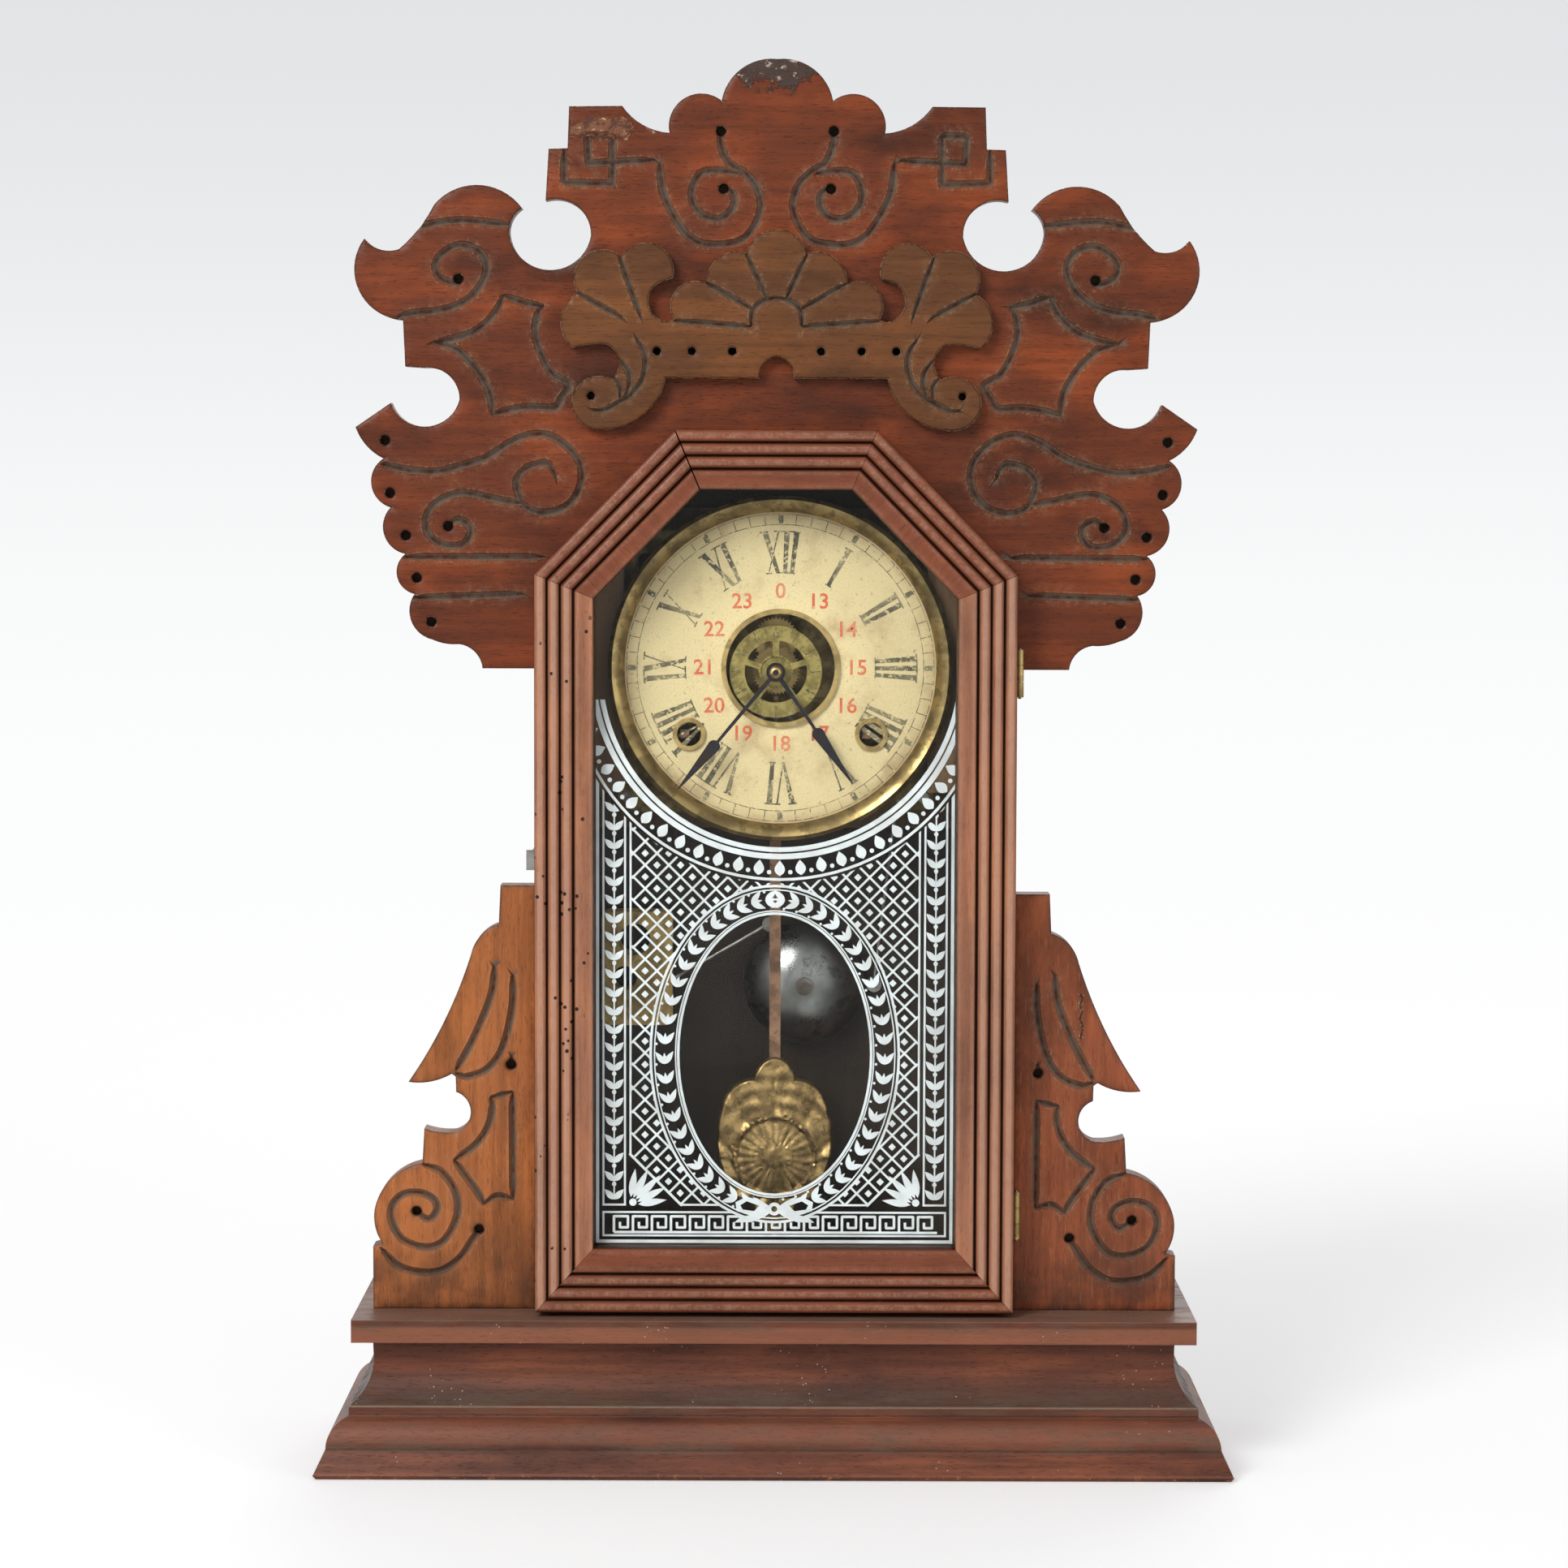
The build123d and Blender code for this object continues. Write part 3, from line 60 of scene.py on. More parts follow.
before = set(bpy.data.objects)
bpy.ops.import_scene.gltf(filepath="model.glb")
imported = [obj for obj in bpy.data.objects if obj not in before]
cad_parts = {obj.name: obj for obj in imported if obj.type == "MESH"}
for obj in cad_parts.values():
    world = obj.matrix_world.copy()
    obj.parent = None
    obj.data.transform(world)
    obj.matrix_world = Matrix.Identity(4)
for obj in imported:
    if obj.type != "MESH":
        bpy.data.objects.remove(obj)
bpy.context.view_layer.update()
MM = 0.001
TO_MM = 1000

# Carving lines, in mm: distance out from the clock's middle and height
CREST_LINES = [
    [(84.1, 523.6), (84.2, 510.9), (65.0, 510.4), (65.1, 529.5), (75.0, 529.2), (74.5, 518.4), (48.6, 519.8)],
    [(46.3, 518.5), (45.2, 507.7), (41.4, 499.0), (36.0, 491.0), (29.3, 487.1), (20.7, 486.8), (13.3, 488.9),
     (8.4, 494.9), (6.4, 502.2), (8.3, 509.6), (13.0, 515.0), (19.1, 518.9), (22.2, 525.6), (22.3, 531.3)],
    [(15.6, 514.7), (23.0, 515.7), (29.7, 514.8), (33.3, 509.2), (33.0, 502.5), (28.0, 497.6), (21.9, 497.0),
     (17.7, 500.7), (17.0, 505.5), (19.2, 508.4), (21.2, 508.7)],
    [(142.8, 493.2), (126.1, 495.9), (105.9, 494.2)],
    [(150.1, 457.9), (144.0, 459.4), (133.0, 460.6), (124.3, 463.7), (118.1, 469.1), (114.8, 476.4),
     (116.7, 482.5), (121.4, 485.7), (127.5, 485.8), (133.7, 481.4), (135.0, 477.2), (132.9, 473.1),
     (126.5, 471.1), (126.1, 473.0)],
    [(108.2, 466.5), (111.9, 459.1), (119.3, 452.5), (126.8, 449.7), (135.5, 447.8)],
    [(135.5, 447.8), (128.1, 445.9), (122.1, 441.0), (117.3, 434.9), (113.6, 427.5), (112.7, 419.5)],
    [(112.7, 419.5), (106.3, 421.3), (97.9, 422.5), (87.9, 422.4), (85.3, 426.0), (82.3, 431.4),
     (89.0, 435.9), (93.7, 444.6), (95.6, 452.9), (94.2, 460.3), (92.2, 462.2)],
    [(92.2, 462.2), (99.6, 463.5), (108.2, 466.5)],
    [(156.1, 399.6), (146.8, 397.6), (135.6, 396.9), (124.6, 399.3), (114.5, 402.8), (106.1, 408.2),
     (98.7, 411.3), (91.3, 411.6), (83.9, 407.7), (78.2, 400.9), (77.3, 393.5), (80.3, 386.1), (86.5, 381.7),
     (93.9, 380.8), (100.0, 383.7), (103.1, 391.1), (101.8, 395.9), (97.5, 399.1), (91.4, 400.3),
     (88.9, 397.8), (87.6, 395.2)],
    [(100.0, 384.4), (109.9, 385.7), (121.2, 388.1), (128.3, 387.8), (135.7, 384.0), (139.1, 377.9),
     (137.9, 371.8), (132.4, 367.9), (125.0, 367.8), (121.7, 371.7), (122.3, 375.9), (126.8, 377.8),
     (130.4, 375.3)],
    [(147.3, 362.9), (92.8, 363.1)],
    [(143.7, 346.7), (100.4, 348.3)],
]
OVERLAY_LINES = [
    [(61.9, 481.1), (53.8, 458.1)],
    [(78.4, 467.2), (60.9, 457.5)],
    [(12.0, 482.8), (3.8, 465.3)],
    [(27.4, 471.2), (9.3, 460.9)],
    [(40.1, 456.4), (10.3, 454.2)],
    [(10.0, 454.5), (9.3, 460.9), (5.1, 464.3), (0.0, 465.6)],
    [(55.2, 448.9), (52.4, 444.4), (51.8, 438.0), (54.1, 431.3), (58.0, 426.9), (63.2, 423.7), (68.3, 421.2),
     (72.5, 421.3)],
    [(61.7, 440.9), (58.6, 436.5), (58.0, 432.0), (59.3, 427.5)],
    [(64.0, 433.9), (61.8, 430.7), (61.9, 426.3)],
]
BRACKET_LINES = [
    [(112.2, 199.5), (113.2, 189.0), (118.5, 175.0), (123.4, 165.1), (127.7, 157.6)],
    [(104.8, 195.9), (104.8, 185.1), (107.1, 172.7), (110.4, 163.8), (116.0, 157.6), (123.5, 155.0),
     (127.7, 156.3)],
    [(105.3, 163.5), (105.6, 159.9)],
    [(113.8, 146.5), (105.0, 148.8)],
    [(105.0, 148.8), (104.8, 105.4)],
    [(104.8, 105.4), (111.3, 106.7), (116.6, 103.4)],
    [(116.6, 103.4), (119.5, 108.7), (128.5, 121.2)],
    [(128.5, 121.2), (120.0, 127.4), (114.8, 135.0), (113.1, 142.5), (113.8, 146.5)],
    [(140.6, 119.2), (133.8, 116.6), (128.6, 109.7), (127.0, 102.1), (128.7, 94.9), (133.9, 87.6),
     (141.5, 86.0), (149.9, 89.6), (153.8, 97.2), (153.1, 103.4), (148.8, 107.4), (142.3, 108.0),
     (136.8, 105.4),
     (135.5, 101.1), (138.8, 97.2), (143.7, 100.5)],
    [(157.4, 84.7), (151.3, 78.4), (142.5, 75.8), (134.0, 76.4), (126.5, 81.4), (121.2, 89.0), (118.6, 93.2)],
]
BRACKET_DROP = 3.0
FRET = CREST_LINES[0]


# Settings

class CarvingSettings(bpy.types.PropertyGroup):
    groove_width: bpy.props.FloatProperty(
        name="Groove Width", description="Width of a carved line", default=3.5 * MM, unit="LENGTH")
    groove_depth: bpy.props.FloatProperty(
        name="Groove Depth", description="Depth of a carved line", default=1.5 * MM, unit="LENGTH")
    edge_round: bpy.props.FloatProperty(
        name="Edge Round", description="How far a board's front edge is worn back", default=0.6 * MM,
        unit="LENGTH")


class FinishSettings(bpy.types.PropertyGroup):
    crest: bpy.props.FloatVectorProperty(
        name="Crest", description="Red wood of the carved crest", subtype="COLOR",
        default=(0.152, 0.032, 0.009))
    overlay: bpy.props.FloatVectorProperty(
        name="Overlay", description="Olive brown wood of the applied carving", subtype="COLOR",
        default=(0.142, 0.050, 0.015))
    bracket: bpy.props.FloatVectorProperty(
        name="Brackets", description="Orange brown wood of the side brackets", subtype="COLOR",
        default=(0.460, 0.150, 0.045))
    base: bpy.props.FloatVectorProperty(
        name="Base", description="Red brown wood of the base", subtype="COLOR",
        default=(0.168, 0.053, 0.029))
    door: bpy.props.FloatVectorProperty(
        name="Door", description="Wood of the door's rails", subtype="COLOR",
        default=(0.228, 0.063, 0.028))
    brass: bpy.props.FloatVectorProperty(
        name="Brass", description="Clean brass", subtype="COLOR", default=(0.52, 0.37, 0.15))


class DialSettings(bpy.types.PropertyGroup):
    paper: bpy.props.FloatVectorProperty(
        name="Paper", description="Aged paper of the dial", subtype="COLOR", default=(0.58, 0.47, 0.25))
    ink: bpy.props.FloatVectorProperty(
        name="Ink", description="Black ink", subtype="COLOR", default=(0.045, 0.040, 0.020))
    red: bpy.props.FloatVectorProperty(
        name="Red Ink", description="Ink of the inner numbers", subtype="COLOR",
        default=(0.52, 0.085, 0.028))
    numeral_inner: bpy.props.FloatProperty(
        name="Numeral Foot", description="Radius of the feet of the hour numbers", default=37.8 * MM,
        unit="LENGTH")
    numeral_outer: bpy.props.FloatProperty(
        name="Numeral Head", description="Radius of the heads of the hour numbers", default=55.0 * MM,
        unit="LENGTH")


class TabletSettings(bpy.types.PropertyGroup):
    color: bpy.props.FloatVectorProperty(
        name="Print", description="Silver white of the stencilled print", subtype="COLOR",
        default=(0.62, 0.65, 0.67))
    window_width: bpy.props.FloatProperty(
        name="Window Half Width", description="Half width of the clear oval",
        default=38.0 * MM, unit="LENGTH")
    window_height: bpy.props.FloatProperty(
        name="Window Half Height", description="Half height of the clear oval", default=56.0 * MM,
        unit="LENGTH")


class StageSettings(bpy.types.PropertyGroup):
    key: bpy.props.FloatProperty(
        name="Key", description="Light of the key lamp on a front face, 1 is white", default=0.62)
    ambient: bpy.props.FloatProperty(
        name="Ambient", description="Light of the world on every face, 1 is white", default=0.42)
    top: bpy.props.FloatVectorProperty(
        name="Backdrop Top", description="Backdrop at the top of the picture", subtype="COLOR",
        default=(0.76, 0.77, 0.78))


# Node helpers

def fill(tree, node, inputs):
    for key, value in (inputs or {}).items():
        socket = node.inputs[key]
        if isinstance(value, bpy.types.NodeSocket):
            tree.links.new(value, socket)
        elif socket.type == "RGBA" and len(value) == 3:
            socket.default_value = (*value, 1)
        else:
            socket.default_value = value
    return node


class Graph:
    """A short way to write a node tree."""

    def __init__(self, tree):
        self.tree = tree

    def add(self, kind, inputs=None, **settings):
        node = self.tree.nodes.new(kind)
        for key, value in settings.items():
            setattr(node, key, value)
        return fill(self.tree, node, inputs)

    def noise(self, vector, scale, detail=3.0, roughness=0.55, offset=(0, 0, 0)):
        moved = self.add("ShaderNodeVectorMath", {0: vector, 1: offset}, operation="ADD").outputs[0]
        return self.add("ShaderNodeTexNoise", {"Vector": moved, "Scale": scale, "Detail": detail,
                                               "Roughness": roughness}).outputs["Fac"]

    def scaled(self, vector, scale):
        return self.add("ShaderNodeVectorMath", {0: vector, 1: scale}, operation="MULTIPLY").outputs[0]

    def ramp(self, value, low, high, to_low=0.0, to_high=1.0):
        return self.add("ShaderNodeMapRange", {"Value": value, "From Min": low, "From Max": high,
                                               "To Min": to_low, "To Max": to_high},
                        interpolation_type="SMOOTHSTEP").outputs[0]

    def math(self, operation, a, b=0.0):
        return self.add("ShaderNodeMath", {0: a, 1: b}, operation=operation).outputs[0]

    def times(self, first, *others):
        for other in others:
            first = self.math("MULTIPLY", first, other)
        return first

    def length(self, vector):
        return self.add("ShaderNodeVectorMath", {0: vector}, operation="LENGTH").outputs["Value"]

    def axes(self, vector):
        return self.add("ShaderNodeSeparateXYZ", {0: vector}).outputs

    def mix(self, factor, a, b):
        node = self.add("ShaderNodeMix", data_type="RGBA")
        fill(self.tree, node, {0: factor, 6: a, 7: b})
        return node.outputs[2]

    def place(self):
        return self.add("ShaderNodeTexCoord").outputs["Object"]

    def attribute(self, name):
        return self.add("ShaderNodeAttribute", attribute_name=name).outputs["Fac"]

    def bump(self, height, distance, strength=1.0):
        return self.add("ShaderNodeBump", {"Height": height, "Distance": distance,
                                           "Strength": strength}).outputs[0]

    def spot(self, vector, centre, size, noise):
        """1 at a place and 0 away from it, with a ragged edge."""
        moved = self.add("ShaderNodeVectorMath", {0: vector, 1: centre}, operation="SUBTRACT").outputs[0]
        near = self.scaled(moved, tuple(1 / s for s in size))
        return self.ramp(self.math("ADD", self.length(near), noise), 1.6, 1.2)


def node_group(name, inputs, outputs):
    """A shader group; inputs are (name, kind, default)."""
    tree = bpy.data.node_groups.new(name, "ShaderNodeTree")
    for label, kind, default in inputs:
        socket = tree.interface.new_socket(label, in_out="INPUT", socket_type="NodeSocket" + kind)
        if default is not None:
            socket.default_value = default
    for label, kind in outputs:
        tree.interface.new_socket(label, in_out="OUTPUT", socket_type="NodeSocket" + kind)
    graph = Graph(tree)
    return graph, graph.add("NodeGroupInput").outputs, graph.add("NodeGroupOutput")


def aged_wood():
    """Mottled, grained colour and height; the grain runs along X."""
    if "Aged Wood" in bpy.data.node_groups:
        return bpy.data.node_groups["Aged Wood"]
    g, given, out = node_group(
        "Aged Wood",
        [("Vector", "Vector", None), ("Base", "Color", (0.2, 0.1, 0.05, 1)),
         ("Light", "Color", (0.4, 0.2, 0.1, 1)), ("Dark", "Color", (0.05, 0.02, 0.01, 1)),
         ("Grain", "Float", 0.5), ("Mottle", "Float", 0.6)],
        [("Color", "Color"), ("Height", "Float"), ("Rough", "Float")])
    soft = g.scaled(given["Vector"], (0.45, 1, 1))
    long = g.scaled(given["Vector"], (0.05, 1, 1))
    cloud = g.ramp(g.noise(soft, 42, 5), 0.42, 0.70)
    stain = g.ramp(g.noise(soft, 30, 6, 0.62, (3, 7, 1)), 0.46, 0.72)
    figure = g.ramp(g.noise(long, 330, 4, 0.6), 0.36, 0.66)
    pores = g.ramp(g.noise(g.scaled(given["Vector"], (0.10, 1, 1)), 2300, 2), 0.60, 0.72)
    color = g.mix(g.times(cloud, given["Mottle"]), given["Base"], given["Light"])
    color = g.mix(g.times(stain, given["Mottle"]), color, given["Dark"])
    color = g.mix(g.times(figure, given["Grain"]), color, g.mix(0.6, color, given["Dark"]))
    color = g.mix(g.times(pores, 0.45), color, given["Dark"])
    height = g.math("SUBTRACT", g.times(figure, 0.35), g.times(pores, 0.65))
    fill(g.tree, out, {"Color": color, "Height": height, "Rough": g.ramp(cloud, 0, 1, 0.34, 0.50)})
    return g.tree


def patches():
    """A worn-off mask with hard ragged edges, and fine specks."""
    if "Worn Patches" in bpy.data.node_groups:
        return bpy.data.node_groups["Worn Patches"]
    g, given, out = node_group(
        "Worn Patches", [("Vector", "Vector", None), ("Amount", "Float", 0.5), ("Size", "Float", 120.0)],
        [("Mask", "Float"), ("Specks", "Float")])
    big = g.add("ShaderNodeTexNoise", {"Vector": given["Vector"], "Scale": given["Size"], "Detail": 6.0,
                                       "Roughness": 0.7}).outputs["Fac"]
    edge = g.math("SUBTRACT", 1.0, given["Amount"])
    mask = g.ramp(g.math("SUBTRACT", big, edge), -0.01, 0.05)
    dots = g.add("ShaderNodeTexVoronoi", {"Vector": given["Vector"], "Scale": 420.0}).outputs["Distance"]
    fill(g.tree, out, {"Mask": mask, "Specks": g.ramp(dots, 0.16, 0.08)})
    return g.tree


def group_use(g, tree, vector, amount, size):
    node = g.add("ShaderNodeGroup", node_tree=tree)
    fill(g.tree, node, {"Vector": vector, "Amount": amount, "Size": size})
    return node.outputs


def new_material(name):
    material = bpy.data.materials.new(name)
    material.use_nodes = True
    material.node_tree.nodes.clear()
    return material, Graph(material.node_tree)


def surface(g, settings):
    shader = g.add("ShaderNodeBsdfPrincipled")
    fill(g.tree, shader, settings)
    out = g.add("ShaderNodeOutputMaterial")
    g.tree.links.new(shader.outputs[0], out.inputs[0])
    return shader, out


def shades(color, light=1.35, dark=0.45):
    warm = (1.0, 0.96, 0.80)
    return tuple(c * light * w for c, w in zip(color, warm)), tuple(c * dark for c in color)


def wood_material(name, color, turn=0.0, grain=0.5, mottle=0.6, light=1.35, dark=0.42, extra=None,
                  gloss=0.05):
    """Aged wood; turn is the grain's angle from X in the front plane. extra changes the colour further."""
    material, g = new_material(name)
    place = g.place()
    turned = g.add("ShaderNodeVectorRotate", {"Vector": place, "Angle": math.radians(turn)},
                   rotation_type="Y_AXIS").outputs[0]
    lighter, darker = shades(color, light, dark)
    wood = g.add("ShaderNodeGroup", node_tree=aged_wood())
    fill(g.tree, wood, {"Vector": turned, "Base": color, "Light": lighter, "Dark": darker, "Grain": grain,
                        "Mottle": mottle})
    tint, height, rough = wood.outputs["Color"], wood.outputs["Height"], wood.outputs["Rough"]
    if extra:
        tint, height, rough = extra(g, place, tint, height, rough)
    surface(g, {"Base Color": tint, "Roughness": rough, "Normal": g.bump(height, 0.15 * MM),
                "Specular IOR Level": 0.22, "Coat Weight": gloss, "Coat Roughness": 0.22})
    return material


DUST = (0.150, 0.110, 0.080)
# Dark colour of the crack line and the boards' dark outlines, also used as painted shade in grooves and worm
# holes
DIRT_AND_SHADE = (0.022, 0.012, 0.008)
# Pale raw wood of worn chips, also used as a painted highlight along the lips of the carved grooves
RAW_WOOD_AND_HIGHLIGHT = (0.50, 0.33, 0.20)


def carved(g, place, tint, height, rough):
    """Dust in the grooves and painted shade at their bottoms, a painted highlight line and worn chips on
    their lips, a dark outline and chips at the board's edge.
    """
    groove, lip, rim = g.attribute("groove"), g.attribute("lip"), g.attribute("rim")
    cloud = g.noise(place, 260, 4)
    dusty = g.times(g.ramp(groove, 0.15, 0.55), g.ramp(cloud, 0.35, 0.62, 0.45, 0.9))
    tint = g.mix(dusty, tint, DUST)
    # Painted shade: the bottoms of the grooves are darkened where shade falls in them
    painted_groove_shade = g.times(g.ramp(groove, 0.70, 1.0), g.ramp(cloud, 0.30, 0.60, 0.95, 0.5))
    tint = g.mix(painted_groove_shade, tint, DIRT_AND_SHADE)
    chips = group_use(g, patches(), place, 0.46, 800)
    # Painted highlight: a thin pale line along the lips of the grooves; the next line adds worn chips of raw
    # wood
    tint = g.mix(g.times(lip, g.ramp(cloud, 0.45, 0.65, 0.04, 0.22)), tint, RAW_WOOD_AND_HIGHLIGHT)
    tint = g.mix(g.times(lip, chips["Mask"], 0.35), tint, RAW_WOOD_AND_HIGHLIGHT)
    tint = g.mix(g.times(g.ramp(rim, 0.35, 0.9), 0.6), tint, DIRT_AND_SHADE)
    tint = g.mix(g.times(g.ramp(rim, 0.55, 0.9), chips["Mask"]), tint, g.mix(0.5, RAW_WOOD_AND_HIGHLIGHT, tint))
    return tint, height, g.ramp(groove, 0.1, 0.6, 0.45, 0.8)


def overlay_finish(g, place, tint, height, rough):
    tint, height, rough = carved(g, place, tint, height, rough)
    # Painted highlight: a pale line along the overlay's rim
    edge = g.times(g.ramp(g.attribute("rim"), 0.72, 0.90), g.ramp(g.noise(place, 300, 4), 0.4, 0.6))
    return g.mix(g.times(edge, 0.55), tint, (0.42, 0.32, 0.20)), height, rough


def crest_finish(g, place, tint, height, rough):
    tint, height, rough = carved(g, place, tint, height, rough)
    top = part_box("crest_board")[1].z
    ragged = g.ramp(g.noise(place, 300, 5), 0.3, 0.7, 0.0, 0.9)
    tip = g.spot(place, (0, -0.020, top - 0.004), (0.017, 0.02, 0.007), ragged)
    streaks = g.noise(g.scaled(place, (0.5, 1, 0.8)), 420, 6, 0.7, (2, 0, 9))
    rough_wood = g.mix(g.ramp(streaks, 0.58, 0.64), (0.060, 0.036, 0.026), (0.48, 0.38, 0.31))
    tint = g.mix(tip, tint, rough_wood)
    broken = g.spot(place, (-0.0685, -0.020, 0.5325), (0.0165, 0.02, 0.0042), ragged)
    splinters = g.mix(g.ramp(streaks, 0.42, 0.50), (0.09, 0.035, 0.020), (0.22, 0.085, 0.040))
    tint = g.mix(broken, tint, g.mix(g.ramp(streaks, 0.56, 0.62), splinters, (0.60, 0.36, 0.22)))
    wing = g.spot(place, (0.126, -0.020, 0.5115), (0.012, 0.02, 0.0016), ragged)
    tint = g.mix(g.times(wing, 0.7), tint, (0.42, 0.24, 0.14))
    height = g.math("ADD", height, g.times(g.math("MAXIMUM", tip, broken),
                                          g.times(streaks, 6.0)))
    return tint, height, rough


def bracket_finish(g, place, tint, height, rough):
    tint, height, rough = carved(g, place, tint, height, rough)
    z = g.axes(place)[2]
    stain = g.times(g.ramp(g.attribute("rim"), 0.02, 0.5), g.ramp(g.noise(place, 120, 4), 0.35, 0.6))
    tint = g.mix(g.times(stain, 0.45), tint, (0.070, 0.030, 0.018))
    # Darker towards the bracket's foot, near the base
    foot_darkening = g.times(g.ramp(z, 0.105, 0.062), g.ramp(g.noise(place, 60, 5), 0.35, 0.65, 0.2, 0.75))
    tint = g.mix(foot_darkening, tint, (0.050, 0.026, 0.018))
    scratch = g.ramp(g.noise(g.scaled(place, (1, 1, 0.08)), 1100, 2), 0.66, 0.70)
    return g.mix(g.times(scratch, 0.25), tint, (0.45, 0.27, 0.16)), height, rough


def door_finish(g, place, tint, height, rough):
    groove = g.attribute("groove")
    cloud = g.noise(place, 200, 4)
    # Painted shade: the grooves between the reeds and the rabbet are darkened where shade falls
    tint = g.mix(g.times(g.ramp(groove, 0.25, 0.8), 0.9), tint, DIRT_AND_SHADE)
    rub = group_use(g, patches(), place, 0.47, 700)
    high = g.ramp(g.attribute("crown"), 0.3, 1.0)
    # Painted highlight: the reeds' crowns are lightened where light catches them; the next lines add worn
    # patches and dust
    shine = g.times(high, g.ramp(cloud, 0.35, 0.65, 0.12, 0.42))
    tint = g.mix(shine, tint, g.mix(0.55, tint, (0.62, 0.38, 0.28)))
    tint = g.mix(g.times(high, rub["Mask"], 0.22), tint, RAW_WOOD_AND_HIGHLIGHT)
    return g.mix(g.times(g.ramp(cloud, 0.62, 0.75), 0.15), tint, DUST), height, rough


def worm_eaten(g, place, tint, height, rough):
    tint, height, rough = door_finish(g, place, tint, height, rough)
    # Painted highlight: the stiles' reed crowns are lightened further
    lit = g.times(g.ramp(g.attribute("crown"), 0.4, 1.0), 0.5)
    tint = g.mix(lit, tint, (0.56, 0.31, 0.21))
    side = g.axes(place)[0]
    cells = g.add("ShaderNodeTexVoronoi", {"Vector": g.scaled(place, (1, 0.05, 1)), "Scale": 240.0,
                                           "Randomness": 1.0})
    # Worm holes on the left stile: small dots painted dark as the shade inside them, and pressed in by the
    # bump
    shaded_hole = g.ramp(cells.outputs["Distance"], 0.20, 0.15)
    few = g.ramp(g.noise(g.scaled(place, (3, 1, 1)), 30, 2, offset=(5, 0, 2)), 0.52, 0.56)
    shaded_hole = g.times(shaded_hole, few, g.ramp(side, -0.065, -0.075))
    return g.mix(shaded_hole, tint, DIRT_AND_SHADE), g.math("SUBTRACT", height, g.times(shaded_hole, 3.0)), rough


def cracked(g, place, tint, height, rough):
    """The glued crack near the right bracket's outer tip."""
    tint, height, rough = bracket_finish(g, place, tint, height, rough)
    x, _, z = g.axes(place)
    wander = g.ramp(g.noise(place, 180, 3), 0.2, 0.8, -0.0012, 0.0012)
    off = g.math("ABSOLUTE", g.math("SUBTRACT", g.math("ADD", x, wander), 0.1226))
    span = g.times(g.ramp(z, 0.170, 0.1715), g.ramp(z, 0.1900, 0.1885))
    line = g.times(g.ramp(off, 0.0006, 0.0002), span)
    glue = g.times(g.times(g.ramp(off, 0.0014, 0.0006), span),
                  g.ramp(g.noise(place, 900, 3), 0.55, 0.62))
    tint = g.mix(g.times(glue, 0.5), tint, (0.55, 0.42, 0.30))
    return g.mix(g.times(line, 0.85), tint, DIRT_AND_SHADE), height, rough


# Painted shade: the backboard's inner face is darkened nearly to black, as the shade inside the case
def dark_inside(g, place, tint, height, rough):
    y = g.axes(place)[1]
    return g.mix(g.times(g.ramp(y, 0.0476, 0.0472), 0.92), tint, (0.018, 0.013, 0.010)), height, rough


# Lines along the plinth: height and half width as shares of its own height, colour, strength. The first is
# pale dust on a fillet; the two dark ones are painted shade at a step and in a recess
PLINTH_DUST_AND_SHADE_LINES = ((0.511, 0.010, (0.36, 0.27, 0.20), 0.70), (0.448, 0.010, DIRT_AND_SHADE, 0.85),
                (0.214, 0.014, DIRT_AND_SHADE, 0.75), (0.040, 0.012, (0.28, 0.12, 0.08), 0.35))


